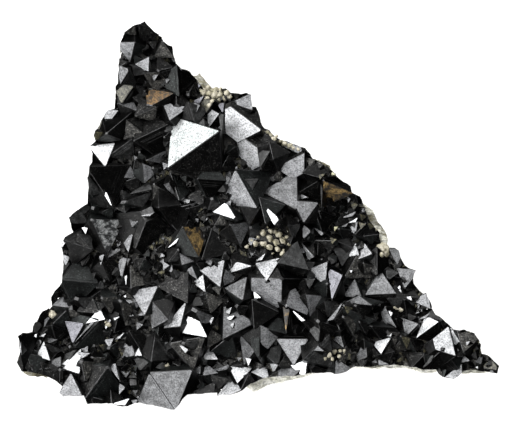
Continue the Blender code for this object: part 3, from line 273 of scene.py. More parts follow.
# Lesser crystals, which only the visual model has, given in the same way
LESSER_CRYSTALS = {
    "narrow top": (
        ((23.1, 68.6), (26.3, 66.9), (23.3, 66.3), DOWN_RIGHT, "dim"),
        ((19.9, 68.7), (22.6, 67.7), (20.7, 64.7), UP_LEFT, "grey"),
        ((31.8, 69.1), (32.9, 68.8), (32.8, 67.5), UP_LEFT, "light"),
        ((18.9, 65.0), (23.4, 64.4), (20.9, 60.8), UP_LEFT, "smoky"),
        ((35.2, 61.2), (36.5, 60.6), (35.3, 58.3), UP_LEFT, "grey"),
        ((25.0, 71.5), (26.4, 72.4), (26.7, 70.2), DOWN_RIGHT, "black"),
        ((21.0, 75.4), (23.6, 76.6), (23.9, 74.2), DOWN_RIGHT, "rough"),
        ((28.0, 67.4), (31.3, 68.2), (30.2, 65.2), DOWN_RIGHT, "dark"),
        ((26.9, 66.5), (28.2, 66.7), (27.4, 65.4), UP_LEFT, "light"),
        ((29.5, 66.0), (30.5, 65.7), (29.8, 64.9), UP_LEFT, "light"),
        ((14.9, 57.2), (17.4, 58.4), (16.4, 55.6), UP_LEFT, "smoky"),
        ((15.0, 55.4), (17.6, 55.2), (16.0, 53.4), DOWN_RIGHT, "olive"),
        ((16.9, 62.6), (19.4, 62.9), (18.6, 60.4), UP_LEFT, "smoky"),
    ),
    "left shoulder": (
        ((25.8, 49.6), (30.1, 51.8), (30.0, 48.8), DOWN_RIGHT, "grey"),
        ((17.9, 54.9), (23.2, 59.4), (21.2, 53.6), DOWN_RIGHT, "black"),
        ((14.3, 46.8), (17.2, 43.1), (14.9, 42.6), DOWN_RIGHT, "dim"),
        ((17.1, 43.4), (18.0, 43.3), (19.2, 40.2), UP_LEFT, "flash"),
        ((21.0, 41.3), (27.3, 43.5), (25.2, 40.2), DOWN_RIGHT, "dim"),
        ((28.3, 40.3), (32.9, 40.9), (31.2, 36.0), DOWN_RIGHT, "dark"),
        ((33.6, 40.0), (36.8, 40.8), (35.4, 37.6), DOWN_RIGHT, "dark"),
        ((34.6, 40.9), (35.9, 41.4), (35.0, 40.2), DOWN_RIGHT, "grey"),
    ),
    "right shoulder": (
        ((48.2, 51.7), (50.4, 51.5), (48.3, 47.9), UP_LEFT, "dim"),
        ((39.0, 39.4), (41.6, 41.4), (43.9, 37.8), UP_LEFT, "flash"),
        ((42.4, 61.4), (43.0, 63.6), (47.4, 63.5), DOWN_RIGHT, "black"),
        ((39.9, 60.9), (41.3, 61.1), (41.0, 58.9), UP_LEFT, "frosted"),
        ((35.6, 62.0), (39.4, 61.6), (37.6, 58.9), UP_LEFT, "smoky"),
        ((60.9, 46.3), (65.4, 46.8), (67.1, 43.4), DOWN_RIGHT, "black"),
        ((60.3, 46.2), (60.9, 46.0), (60.6, 40.2), UP_LEFT, "dim"),
        ((56.2, 43.2), (57.9, 42.3), (56.6, 42.0), UP_LEFT, "bright"),
        ((60.9, 41.9), (67.0, 43.0), (64.2, 39.6), DOWN_RIGHT, "dark"),
        ((66.3, 41.6), (67.9, 40.9), (66.9, 39.7), UP_LEFT, "olive"),
        ((67.2, 43.4), (69.6, 42.2), (68.0, 40.8), DOWN_RIGHT, "black"),
        ((62.3, 46.7), (63.1, 48.0), (63.7, 46.8), UP_LEFT, "cream"),
        ((60.0, 46.8), (61.3, 47.0), (60.3, 45.8), UP_LEFT, "olive"),
        ((57.6, 50.2), (59.4, 49.8), (58.2, 48.2), UP_LEFT, "rough"),
        ((59.6, 49.9), (61.4, 49.2), (60.0, 47.9), UP_LEFT, "rough"),
        ((61.0, 48.9), (62.8, 48.3), (61.8, 47.2), DOWN_RIGHT, "rough"),
        ((57.2, 52.0), (58.6, 51.2), (57.4, 50.6), DOWN_RIGHT, "black"),
        ((34.8, 68.2), (38.4, 66.8), (36.4, 64.2), UP_LEFT, "smoky"),
        ((35.9, 66.0), (37.1, 65.0), (36.2, 64.1), UP_LEFT, "frosted"),
        ((37.2, 65.6), (39.1, 64.9), (37.5, 64.0), DOWN_RIGHT, "dark"),
        ((35.2, 61.5), (37.3, 62.5), (36.1, 60.6), UP_LEFT, "frosted"),
        ((40.1, 59.0), (41.2, 58.8), (40.8, 54.9), UP_LEFT, "dim"),
    ),
    "left flank": (
        ((19.2, 33.4), (20.9, 31.9), (18.1, 30.2), UP_LEFT, "grey"),
        ((13.0, 36.3), (14.3, 36.5), (13.8, 35.0), UP_LEFT, "flash"),
        ((8.1, 34.0), (9.9, 33.5), (9.1, 32.3), UP_LEFT, "bright"),
        ((8.7, 31.2), (10.6, 30.4), (9.8, 28.7), UP_LEFT, "light"),
        ((16.5, 30.7), (17.5, 31.0), (16.8, 28.7), UP_LEFT, "light"),
        ((22.4, 38.2), (24.3, 37.6), (23.0, 36.3), UP_LEFT, "grey"),
        ((19.9, 30.7), (22.0, 30.2), (20.9, 25.9), UP_LEFT, "light"),
        ((24.6, 38.6), (27.4, 39.3), (26.6, 38.6), UP_LEFT, "light"),
        ((29.9, 32.1), (32.5, 34.6), (31.8, 33.3), UP_LEFT, "flash"),
        ((21.5, 26.6), (22.0, 26.9), (21.8, 24.8), UP_LEFT, "flash"),
        ((11.8, 22.3), (16.9, 22.6), (15.0, 18.6), DOWN_RIGHT, "dim"),
        ((16.9, 22.4), (20.2, 22.6), (18.8, 18.8), DOWN_RIGHT, "rough"),
        ((20.6, 21.9), (24.6, 20.0), (21.5, 17.5), DOWN_RIGHT, "rough"),
        ((21.3, 22.7), (22.0, 23.1), (21.7, 22.3), UP_LEFT, "flash"),
    ),
    "middle": (
        ((45.8, 34.4), (47.4, 34.2), (46.6, 32.6), UP_LEFT, "light"),
        ((47.0, 23.9), (48.6, 22.4), (47.3, 22.2), UP_LEFT, "flash"),
        ((30.1, 29.4), (32.3, 32.0), (32.6, 29.7), DOWN_RIGHT, "dim"),
        ((42.0, 27.2), (46.8, 28.7), (43.6, 29.6), UP_LEFT, "bright"),
        ((49.0, 41.0), (51.2, 36.7), (52.2, 38.0), UP_LEFT, "flash"),
        ((47.6, 29.7), (49.5, 31.3), (48.8, 29.9), UP_LEFT, "bright"),
        ((61.8, 28.4), (64.8, 26.9), (62.6, 21.8), UP_LEFT, "frosted"),
        ((58.9, 36.5), (61.1, 35.2), (60.5, 34.7), UP_LEFT, "bright"),
        ((56.8, 37.1), (58.6, 35.6), (56.9, 33.9), UP_LEFT, "grey"),
        ((54.0, 36.6), (56.6, 37.0), (55.0, 33.6), DOWN_RIGHT, "dim"),
        ((64.0, 38.0), (67.6, 39.6), (66.8, 38.6), UP_LEFT, "light"),
        ((65.9, 37.2), (67.8, 38.3), (67.4, 37.4), UP_LEFT, "flash"),
        ((64.3, 36.4), (65.9, 37.2), (65.5, 36.5), UP_LEFT, "grey"),
        ((63.1, 36.5), (63.9, 36.5), (63.2, 35.5), UP_LEFT, "cream"),
        ((60.0, 39.8), (64.3, 38.2), (61.2, 36.0), DOWN_RIGHT, "black"),
        ((64.0, 36.1), (67.4, 35.6), (65.3, 33.2), DOWN_RIGHT, "black"),
        ((68.2, 39.0), (69.6, 38.6), (68.6, 37.5), DOWN_RIGHT, "olive"),
        ((68.0, 37.4), (69.4, 37.0), (68.4, 35.9), UP_LEFT, "olive"),
        ((69.7, 37.3), (71.3, 36.9), (70.3, 35.7), DOWN_RIGHT, "olive"),
        ((71.2, 37.2), (72.3, 36.2), (71.4, 35.5), UP_LEFT, "olive"),
        ((69.9, 39.4), (71.0, 38.4), (69.9, 37.8), DOWN_RIGHT, "olive"),
        ((62.2, 34.4), (63.6, 34.0), (62.7, 33.0), UP_LEFT, "olive"),
        ((59.9, 33.3), (62.1, 31.6), (59.8, 30.7), DOWN_RIGHT, "dark"),
        ((66.1, 27.9), (66.8, 27.8), (66.5, 27.3), UP_LEFT, "flash"),
        ((69.0, 34.6), (72.0, 35.0), (70.6, 32.8), DOWN_RIGHT, "slate"),
        ((68.9, 29.3), (71.6, 28.6), (69.3, 26.6), DOWN_RIGHT, "rough"),
    ),
    "right edge": (
        ((65.0, 21.4), (70.6, 20.9), (68.0, 22.8), UP_LEFT, "grey"),
        ((75.6, 24.3), (76.2, 24.8), (76.5, 23.3), UP_LEFT, "flash"),
        ((77.0, 22.1), (81.0, 20.4), (77.6, 18.6), DOWN_RIGHT, "black"),
        ((77.2, 22.5), (78.4, 22.7), (78.6, 21.7), UP_LEFT, "bright"),
        ((79.2, 19.2), (80.7, 20.1), (80.4, 19.5), UP_LEFT, "bright"),
        ((76.7, 26.3), (80.8, 23.4), (78.0, 22.6), DOWN_RIGHT, "rough"),
    ),
    "lower left": (
        ((6.9, 24.9), (8.9, 25.6), (8.8, 23.3), DOWN_RIGHT, "dark"),
        ((6.7, 23.2), (8.4, 23.5), (8.0, 21.6), DOWN_RIGHT, "dark"),
        ((5.6, 18.8), (6.6, 18.4), (5.5, 16.4), UP_LEFT, "grey"),
        ((3.1, 14.9), (4.1, 15.2), (4.0, 14.5), UP_LEFT, "flash"),
        ((4.4, 14.7), (5.9, 15.3), (5.5, 14.6), UP_LEFT, "flash"),
        ((4.3, 14.2), (5.0, 13.9), (4.7, 12.7), UP_LEFT, "bright"),
        ((6.1, 14.5), (8.2, 14.1), (6.3, 13.2), UP_LEFT, "grey"),
        ((6.3, 13.2), (9.3, 11.9), (7.4, 11.0), DOWN_RIGHT, "dim"),
        ((7.0, 16.9), (10.8, 15.6), (8.0, 13.4), DOWN_RIGHT, "black"),
        ((9.6, 17.8), (13.5, 17.3), (11.2, 13.2), UP_LEFT, "frosted"),
        ((11.4, 13.3), (16.2, 18.2), (15.2, 17.9), UP_LEFT, "grey"),
        ((17.1, 18.4), (18.9, 18.0), (17.8, 16.1), UP_LEFT, "flash"),
        ((19.3, 18.3), (20.6, 18.7), (19.6, 17.9), UP_LEFT, "flash"),
        ((18.9, 13.8), (21.5, 15.5), (20.6, 14.3), UP_LEFT, "flash"),
        ((18.3, 12.4), (20.9, 14.1), (20.0, 10.3), DOWN_RIGHT, "slate"),
        ((9.0, 10.9), (12.0, 12.2), (10.3, 9.7), UP_LEFT, "dim"),
        ((12.1, 11.6), (14.7, 11.4), (12.9, 10.2), UP_LEFT, "light"),
        ((14.9, 10.6), (18.0, 10.5), (16.4, 8.9), DOWN_RIGHT, "rough"),
        ((8.7, 8.2), (10.6, 7.6), (8.6, 5.4), DOWN_RIGHT, "black"),
        ((12.9, 9.8), (16.2, 9.7), (13.8, 5.4), DOWN_RIGHT, "rough"),
        ((18.3, 8.9), (19.7, 9.4), (20.6, 5.9), UP_LEFT, "light"),
        ((20.4, 5.5), (21.7, 4.6), (20.4, 3.1), UP_LEFT, "light"),
        ((15.0, 4.8), (18.1, 8.8), (16.9, 7.9), UP_LEFT, "bright"),
        ((18.5, 1.2), (22.6, 2.5), (21.0, 0.2), UP_LEFT, "flash"),
        ((23.3, 8.4), (24.0, 8.3), (23.7, 6.9), UP_LEFT, "bright"),
        ((0.2, 14.2), (0.9, 14.6), (1.1, 10.9), UP_LEFT, "light"),
    ),
    "lower middle": (
        ((35.3, 20.3), (39.6, 18.6), (37.9, 15.0), DOWN_RIGHT, "grey"),
        ((38.1, 18.2), (39.3, 18.6), (38.7, 17.2), UP_LEFT, "bright"),
        ((23.1, 10.7), (26.6, 9.9), (24.5, 7.8), UP_LEFT, "dim"),
        ((31.9, 13.6), (34.2, 12.1), (33.6, 11.4), UP_LEFT, "bright"),
        ((33.0, 13.4), (37.2, 14.3), (35.4, 11.9), DOWN_RIGHT, "dim"),
        ((46.2, 13.6), (48.2, 17.6), (48.3, 10.2), UP_LEFT, "slate"),
        ((45.4, 10.6), (46.7, 10.2), (46.1, 8.9), UP_LEFT, "flash"),
        ((52.9, 20.8), (54.3, 20.3), (53.5, 15.4), UP_LEFT, "stained"),
        ((54.2, 20.5), (57.4, 17.9), (56.6, 17.7), UP_LEFT, "flash"),
        ((41.4, 19.5), (42.8, 20.6), (42.3, 19.1), UP_LEFT, "flash"),
        ((41.5, 18.4), (43.4, 18.9), (42.6, 17.9), UP_LEFT, "flash"),
        ((42.3, 17.0), (43.3, 17.5), (43.0, 16.4), UP_LEFT, "bright"),
        ((58.0, 16.0), (60.4, 17.6), (60.0, 13.4), UP_LEFT, "dim"),
        ((59.8, 17.9), (64.2, 16.4), (61.0, 13.0), DOWN_RIGHT, "dark"),
        ((58.6, 12.0), (59.7, 13.0), (61.2, 11.8), UP_LEFT, "grey"),
    ),
    "right tail": (
        ((62.5, 13.9), (65.3, 12.2), (62.9, 12.2), DOWN_RIGHT, "dim"),
        ((69.0, 14.2), (71.0, 13.2), (69.4, 9.8), DOWN_RIGHT, "slate"),
        ((73.6, 15.6), (76.2, 15.5), (75.0, 11.9), DOWN_RIGHT, "rough"),
        ((70.3, 16.8), (75.2, 16.4), (72.4, 14.1), DOWN_RIGHT, "black"),
        ((73.5, 14.8), (74.6, 15.4), (74.4, 14.7), UP_LEFT, "flash"),
        ((61.6, 17.7), (63.0, 18.1), (65.0, 21.8), UP_LEFT, "light"),
        ((63.0, 18.2), (65.2, 20.8), (64.6, 16.6), DOWN_RIGHT, "dark"),
        ((64.8, 18.7), (68.1, 18.8), (67.0, 14.7), DOWN_RIGHT, "rough"),
        ((61.2, 21.7), (64.0, 21.6), (61.9, 18.2), DOWN_RIGHT, "dim"),
        ((64.9, 20.9), (67.0, 20.3), (65.7, 19.2), DOWN_RIGHT, "olive"),
        ((67.2, 20.9), (71.0, 20.8), (69.2, 17.8), DOWN_RIGHT, "dark"),
        ((68.0, 17.7), (70.4, 17.3), (69.6, 14.8), DOWN_RIGHT, "black"),
        ((88.2, 9.4), (89.0, 10.9), (90.1, 9.8), UP_LEFT, "light"),
        ((91.0, 9.6), (92.9, 11.4), (92.3, 9.2), UP_LEFT, "grey"),
        ((91.2, 8.5), (92.0, 8.9), (91.8, 8.2), UP_LEFT, "flash"),
        ((88.4, 13.3), (90.2, 13.8), (89.6, 13.0), UP_LEFT, "light"),
        ((80.4, 8.1), (83.3, 12.2), (82.4, 9.7), UP_LEFT, "dim"),
        ((78.0, 14.3), (82.0, 13.6), (79.6, 11.3), DOWN_RIGHT, "dark"),
        ((76.3, 14.8), (78.4, 14.4), (77.5, 12.2), DOWN_RIGHT, "olive"),
        ((75.4, 18.2), (77.0, 18.0), (76.4, 15.6), DOWN_RIGHT, "black"),
        ((79.6, 17.9), (82.2, 19.4), (81.4, 18.4), UP_LEFT, "light"),
        ((73.8, 19.9), (74.7, 19.4), (74.4, 18.6), UP_LEFT, "flash"),
        ((92.6, 8.4), (95.8, 8.0), (94.0, 11.0), UP_LEFT, "smoky"),
    ),
    "rim": (
        ((26.4, 76.2), (28.9, 75.0), (26.9, 73.3), DOWN_RIGHT, "dark"),
    ),
}

# The crystal whose shown face runs on into a twin's, and the two corners of it on the line between them
TWINNED_CORNERS = ((26.4, 7.6), (31.7, -0.2), (35.1, 8.1))

# Corners that a crystal lacks, the share of its edges cut off there, and the most that others lose, by tier
BLUNT_CORNERS = {
    (41.4, 51.8): 0.35, (41.4, 61.2): 0.14, (51.1, 49.9): 0.42, (43.5, 55.2): 0.2, (40.2, 41.0): 0.25,
    (57.2, 44.5): 0.4, (51.3, 48.2): 0.2, (30.9, 58.5): 0.07, (26.6, 39.6): 0.2, (32.6, 34.3): 0.25,
    (22.6, 29.6): 0.25, (43.5, 26.3): 0.33, (52.7, 19.0): 0.18, (80.9, 12.8): 0.35, (58.9, 18.4): 0.2,
    (26.0, 60.0): 0.2,
}
MAIN_CUT = 0.05
LESSER_CUT = 0.16
SECOND_CUT = 0.3

# Small crystals that fill the bed between the ones above
SMALL_SEED = 11
SMALL_EDGE = (2.8, 7.5)
EDGE_TO_ROOM = 2.6
SMALL_REACH = 0.36
LEAST_ROOM = 0.75
MOST_SMALL = 58
ROOM_STEP = 0.8
SMALL_TILT = (8.0, 50.0)
SMALL_UP_LEFT_SHARE = 0.25
SMALL_HEADING = 80.0
SMALL_NEEDED_BELOW = 1.8
LEAST_SHOWING = 2.0
VIEW_STEP = 0.5

# How high a crystal stands, as shares of its edge, and how it settles among its neighbours
CENTRE_LIFT = 0.03
SMALL_CENTRE_LIFT = 0.15
SMALL_RISE = 0.2
MOST_HIDING = 0.3
SETTLE_ROUNDS = 400
SETTLE_RATE = 0.22
SETTLE_SPRING = 0.015
GRAIN_PUSH = 2.0
FACE_CLEARANCE = 0.12

# Feldspar grains: place and width of each
GRAINS = {
    "feldspar_grains_middle": (
        (48.9, 35.2, 1.4), (48.9, 33.5, 1.8), (47.4, 33.2, 1.6), (50.3, 34.1, 1.5), (50.3, 32.5, 1.6),
        (51.6, 33.3, 1.6), (52.9, 33.6, 1.6), (52.2, 34.9, 1.6), (50.5, 35.6, 1.3), (51.9, 32.1, 1.4),
    ),
    "feldspar_grains_top": (
        (37.1, 63.4, 1.6), (38.3, 62.9, 1.6), (39.5, 62.5, 1.6), (40.6, 62.8, 1.6), (41.4, 62.1, 1.5),
        (39.6, 63.7, 1.4),
    ),
    "feldspar_grain_right": ((72.8, 31.7, 2.9),),
    "feldspar_grains_tail": ((76.6, 20.2, 1.7), (75.4, 20.4, 1.8)),
    "feldspar_grain_lower": ((29.9, 8.9, 1.6),),
    "feldspar_grain_corner": ((18.1, 17.0, 1.7),),
    "feldspar_grain_left": ((7.2, 18.9, 1.8),),
}

# Lesser grains, which only the visual model has and which sit on whatever is under them: place and width
LESSER_GRAINS = {
    "pale_grains_about_middle": (
        (45.8, 32.5, 1.1), (46.3, 33.2, 0.7), (46.8, 33.8, 0.6), (48.0, 34.4, 0.7), (51.3, 35.4, 0.9),
        (53.1, 31.8, 0.7), (52.8, 31.1, 1.1), (53.7, 34.4, 0.8), (54.2, 33.0, 0.9), (49.9, 36.4, 0.5),
        (50.9, 31.3, 0.8), (53.9, 35.6, 0.5),
    ),
    "pale_grains_about_top": (
        (37.8, 61.9, 1.4), (38.9, 61.4, 1.2), (39.0, 63.6, 1.1), (40.6, 63.6, 1.1), (41.8, 63.1, 1.3),
        (42.4, 62.4, 1.0), (38.1, 64.1, 0.9), (37.3, 62.6, 1.0), (40.2, 61.6, 0.9), (38.3, 60.6, 0.9),
    ),
    "pale_grains_shoulder": (
        (49.7, 55.1, 1.1), (50.5, 54.6, 1.2), (51.3, 53.9, 1.1), (52.2, 53.4, 1.0), (53.3, 52.9, 1.2),
        (54.2, 52.5, 1.1), (55.1, 52.1, 1.0), (56.1, 51.8, 0.9), (50.9, 53.9, 0.9), (52.8, 53.4, 0.8),
        (54.7, 52.7, 0.8), (51.7, 54.4, 0.7),
    ),
    "pale_grains_tail_rock": (
        (61.2, 10.4, 1.0), (62.0, 11.1, 1.2), (63.2, 11.6, 1.2), (64.2, 10.8, 1.1), (65.1, 11.7, 1.0),
        (62.7, 10.3, 0.9), (64.3, 11.8, 0.8),
    ),
    "pale_grains_right_edge": ((72.6, 32.0, 1.9), (73.2, 31.2, 1.5), (72.5, 31.0, 1.3)),
    "pale_grain_bottom": ((29.9, 9.0, 1.3),),
    "pale_grains_corner": ((18.2, 17.1, 1.3), (17.7, 17.6, 0.8)),
}

# How the grains sit, as a height and shares of their width, and their lumpy shape
GRAIN_LIFT = 1.1
GRAIN_SINK = 0.25
LESSER_GRAIN_SINK = 0.15
GRAIN_SEED = 5
GRAIN_STRETCH = 0.24
GRAIN_OVERLAP = 0.92
GRAIN_SPLITS = 3
GRAIN_LUMP_SIZE = 0.6
GRAIN_LUMP = 0.16
GRAIN_PIT_SIZE = 0.22
GRAIN_PIT = 0.05
GRAIN_VOXEL = 0.11

# Where crystal bodies are cut at the specimen's rim, and how rough that broken side and the bed are
RIM_POINT_STEP = 1.0
RIM_LEVEL_STEP = 1.0
RIM_ROUGHNESS = 0.5
RIM_ROUGHNESS_SIZE = 2.6
RIM_TAPER = 0.05
TAPER_OVER_BED = 2.0
BREAK_GAIN = 1.3
BED_CELL = 1.1
BED_MARGIN_CELLS = 4
BED_ROUGHNESS = 0.35
BED_OCTAVES = 3
BED_OCTAVE_STEP = 2.0
BED_OCTAVE_FADE = 1.0
BED_UNDERSIDE = -0.25

# Bevels and growth layers of the crystals
BEVEL_SHARE = (0.006, 0.014)
BEVEL_TO_SHRINK = 2 * math.sqrt(3)
LAYER_SEED = 41
LAYER_HEART = (0.15, 0.6)
LAYERS = (0, 3)
LAYER_SHARE = (0.62, 0.93)
LAYER_HEIGHT = (0.03, 0.07)
LAYER_SIGNS = (1, 1, -1)
LAYER_RISER = 0.07
LEAST_LAYER = 0.25
LEAST_LAYERED = 2.0

# Attitudes of the lesser crystals, how far their middles lie below their faces as a share of the face's size,
# the least height of those faces over the bed, and the room kept under the top of the solids
LESSER_SEED = 3
LESSER_TILT = (26.0, 42.0)
LESSER_HEADING = 30.0
LESSER_DEPTH = 0.8
LESSER_OVER_BED = 0.5
HEADROOM = 0.1

# A second tier of small crystals in the gaps that the first leaves
SECOND_SEED = 29
SECOND_EDGE = (1.8, 4.6)
SECOND_NEEDED_BELOW = 1.0
MOST_SECOND = 170

# Druse between the crystals and on the broken side of the crust
DRUSE_SEED = 23
DRUSE_STEP = 0.9
DRUSE_NEEDED_BELOW = 0.5
DRUSE_EDGE = (0.9, 1.9)
DRUSE_SCATTER = 0.35
DRUSE_LIFT = (0.0, 0.35)
RIM_SEED = 31
RIM_STEP = 2.2
RIM_EDGE = (1.4, 3.0)
RIM_INSET = 0.42
RIM_LEVELS = (0.6, 3.6)

# Finishes of crystal faces: colour, the colour of its clouds and their size, metallic share, roughness, how
# dark its fine specks are, how bright its painted glints, and bump. The grey steps of the magnetite, from
# flash to black, are lit and shaded copies of it: painted light and shade, partly also faces that are really
# duller and more reflective. Ochre, stained, smoky, olive and cream are colours of their own
FACE_FINISHES_AND_PAINTED_LIGHT = {
    "flash": ((0.70, 0.71, 0.72), (0.44, 0.45, 0.46), 2.2, 0.4, 0.34, 0.40, 1.2, 0.04),
    "white": ((0.42, 0.435, 0.435), (0.32, 0.345, 0.34), 3.0, 0.5, 0.32, 0.60, 1.1, 0.05),
    "bright": ((0.39, 0.395, 0.405), (0.26, 0.265, 0.27), 1.8, 0.35, 0.38, 0.55, 1.15, 0.07),
    "light": ((0.215, 0.218, 0.226), (0.135, 0.137, 0.142), 1.6, 0.35, 0.42, 0.55, 1.2, 0.09),
    "frosted": ((0.17, 0.17, 0.19), (0.11, 0.11, 0.125), 1.6, 0.35, 0.45, 0.45, 1.2, 0.12),
    "grey": ((0.110, 0.112, 0.116), (0.057, 0.058, 0.060), 1.4, 0.4, 0.45, 0.6, 1.4, 0.12),
    "dim": ((0.038, 0.039, 0.039), (0.012, 0.0123, 0.0122), 1.2, 0.5, 0.50, 0.7, 2.2, 0.25),
    "streaked": ((0.028, 0.029, 0.030), (0.36, 0.37, 0.37), 0.8, 0.4, 0.45, 0.5, 1.5, 0.20),
    "rough": ((0.052, 0.0505, 0.046), (0.008, 0.0079, 0.007), 0.8, 0.4, 0.60, 0.85, 4.0, 0.60),
    "slate": ((0.0135, 0.0155, 0.015), (0.006, 0.007, 0.0069), 2.0, 0.7, 0.45, 0.6, 4.0, 0.12),
    "dark": ((0.004, 0.004, 0.004), (0.0145, 0.0143, 0.0137), 1.2, 0.8, 0.38, 0.7, 6.0, 0.20),
    "black": ((0.0018, 0.0018, 0.0018), (0.0055, 0.0055, 0.0053), 1.6, 0.8, 0.28, 0.6, 7.0, 0.12),
    "ochre": ((0.13, 0.072, 0.022), (0.02, 0.014, 0.007), 1.1, 0.1, 0.55, 0.8, 1.6, 0.45),
    "stained": ((0.012, 0.010, 0.008), (0.19, 0.125, 0.045), 1.5, 0.2, 0.50, 0.6, 1.5, 0.40),
    "smoky": ((0.075, 0.072, 0.053), (0.02, 0.019, 0.014), 1.0, 0.1, 0.45, 0.7, 1.8, 0.35),
    "olive": ((0.08, 0.073, 0.04), (0.02, 0.019, 0.012), 0.9, 0.0, 0.60, 0.8, 2.5, 0.60),
    "cream": ((0.50, 0.49, 0.32), (0.32, 0.30, 0.18), 1.2, 0.0, 0.50, 0.4, 1.2, 0.30),
    "edge": ((0.055, 0.055, 0.056), (0.02, 0.02, 0.02), 1.2, 0.8, 0.30, 0.4, 2.0, 0.05),
    "bed": ((0.004, 0.0039, 0.0037), (0.019, 0.0175, 0.0135), 0.8, 0.3, 0.60, 0.7, 5.0, 0.60),
}
FACE_FINISH_AND_LIGHT_ORDER = list(FACE_FINISHES_AND_PAINTED_LIGHT)

# Levels of the noise where clouds, specks, painted glints and pits of the finishes begin and end, and their
# sizes
CLOUD_LEVELS = (0.44, 0.60)
SPECKLE_SIZE = 0.3
SPECKLE_DETAIL = 2.0
SPECKLE_LEVELS = (0.40, 0.54)
PAINTED_GLINT_LEVELS = (0.61, 0.69)
STREAKED = "streaked"
STREAK_TURN = math.radians(35)
STREAK_STRETCH = (0.35, 1.0, 1.0)
PIT_SIZE = 0.7
PIT_DETAIL = 1.0
PIT_LEVELS = (0.27, 0.30)
PIT_TONE = 0.25
RELIEF_SIZE = 0.7
RELIEF_DETAIL = 3.0
RELIEF_DEPTH = 0.3

# Painted shade on the faces beside a shown one; painted light and shade on small crystals that lean to the
# light, and painted shade on those that lean away from it and on the druse, among a few olive faces
PAINTED_TONE_SEED = 17
SIDE_PAINTED_SHADES = ("dark", "black", "black", "black", "slate", "dark")
SMALL_LIT_PAINTED_TONES = ("light", "grey", "dim", "dark", "dark", "black", "black")
SMALL_UNLIT_PAINTED_SHADES = ("dark", "black", "black", "dark", "rough", "dim", "slate")
DRUSE_PAINTED_SHADES_AND_OLIVE = ("dark", "black", "black", "rough", "olive")

# Studio: softboxes as azimuth, elevation, distance, width, height (degrees and metres) and radiance
SOFTBOXES = (
    ("key", 150.0, 35.0, 1.3, 2.2, 1.8, 4.4),
    ("upper", 82.0, 35.0, 1.5, 1.7, 1.7, 3.6),
    ("left", 218.0, 35.0, 1.5, 1.7, 1.7, 3.6),
    ("low_fill", -35.0, 35.0, 1.6, 0.8, 0.6, 0.5),
    ("top", 0.0, 89.0, 1.6, 0.7, 0.7, 2.5),
)
SURROUNDINGS = 0.012
CAMERA_HEIGHT = 2.0
CAMERA_LENS = 696.0
CAMERA_PLACE = (48.1, 38.6)
FLOOR_SIZE = 8.0
FLOOR_COLOUR = (0.45, 0.45, 0.448)
FLOOR_ROUGHNESS = 0.9
FLOOR_GLOW = 0.65
WHITE = (1.0, 1.0, 1.0)

# The rock's broken and granular surface: voxel, sizes and depths of breaks, chips and grains
ROCK_VOXEL = 0.55
ROCK_BREAK_SIZE = 4.5
ROCK_BREAK_DEPTH = 0.7
ROCK_CHIP_SIZE = 1.4
ROCK_CHIP_DEPTH = 0.3
ROCK_GRAIN_SIZE = 0.6
ROCK_GRAIN_DEPTH = 0.12
ROCK_FOOT = 1.2

# The rock's colours by level of its noise, how they pale along X, partly painted light on bare rock that the
# crust shades, and grey along Y, and its speckle and relief
ROCK_TONES = (
    (0.30, (0.05, 0.045, 0.03)),
    (0.42, (0.20, 0.185, 0.12)),
    (0.50, (0.34, 0.335, 0.30)),
    (0.57, (0.70, 0.69, 0.58)),
    (0.66, (0.96, 0.95, 0.88)),
)
ROCK_MOTTLE_SIZE = 1.5
ROCK_MOTTLE_DETAIL = 6.0
ROCK_MOTTLE_ROUGHNESS = 0.7
ROCK_FIBRE_TURN = math.radians(55)
ROCK_FIBRE_STRETCH = (0.4, 1.0, 1.0)
ROCK_PALING_AND_PAINTED_LIGHT = (-0.046, -0.005, -0.16, 0.13)
ROCK_GREYING = (-0.028, -0.008, 0.0, -0.13)
ROCK_SPECKLE_SIZE = 0.45
ROCK_SPECKLE_DETAIL = 3.0
ROCK_SPECKLE = ((0.36, 0.62), (0.52, 1))
ROCK_ROUGHNESS = 0.8
ROCK_RELIEF_SIZE = 0.5
ROCK_RELIEF_DETAIL = 4.0
ROCK_RELIEF = 0.6
ROCK_RELIEF_DEPTH = 0.25

# The grains' two tones by level of their noise, painted shade in their crevices by pointiness, and their
# relief
GRAIN_TONES = ((0.38, (0.19, 0.175, 0.115)), (0.58, (0.33, 0.305, 0.24)))
GRAIN_TONE_SIZE = 1.3
GRAIN_PAINTED_CREVICE_SHADE = ((0.44, (0.22, 0.20, 0.15)), (0.51, WHITE))
GRAIN_ROUGHNESS = 0.5
GRAIN_RELIEF_SIZE = 0.35
GRAIN_RELIEF_DETAIL = 4.0
GRAIN_RELIEF = 0.3
GRAIN_RELIEF_DEPTH = 0.1

# Sockets of Blender's mix node that carry colours, and a new ramp stop's place until it gets its own
MIX_FIRST = 6
MIX_SECOND = 7
MIX_RESULT = 2
NEW_STOP = 0.5

# Directions from the middle of an equilateral face to two of its corners, and points of a face as shares
# of its corners
CORNER_DIRECTIONS = np.array([[math.cos(math.radians(a)) for a in (90, 210)],
                              [math.sin(math.radians(a)) for a in (90, 210)]])
FACE_SAMPLES = np.array([(1 / 3, 1 / 3, 1 / 3), (0.74, 0.13, 0.13), (0.13, 0.74, 0.13),
                         (0.13, 0.13, 0.74), (0.46, 0.46, 0.08), (0.46, 0.08, 0.46), (0.08, 0.46, 0.46)])
ANTIPODES = ((0, 3), (1, 4), (2, 5))

# The steepest shown face, and an octahedron's depth under a face as a share of the root of its area
MOST_TILT = math.radians(42.0)
CENTRE_DEPTH = math.sqrt(2 / (3 * math.sqrt(3)))

# How near a face may come to upright, a direction that no crystal's axis has, and the digits of the tables
UPRIGHT = 1e-6
OBLIQUE = (1.0, 0.3, 0.2)
TABLE_DIGITS = 3


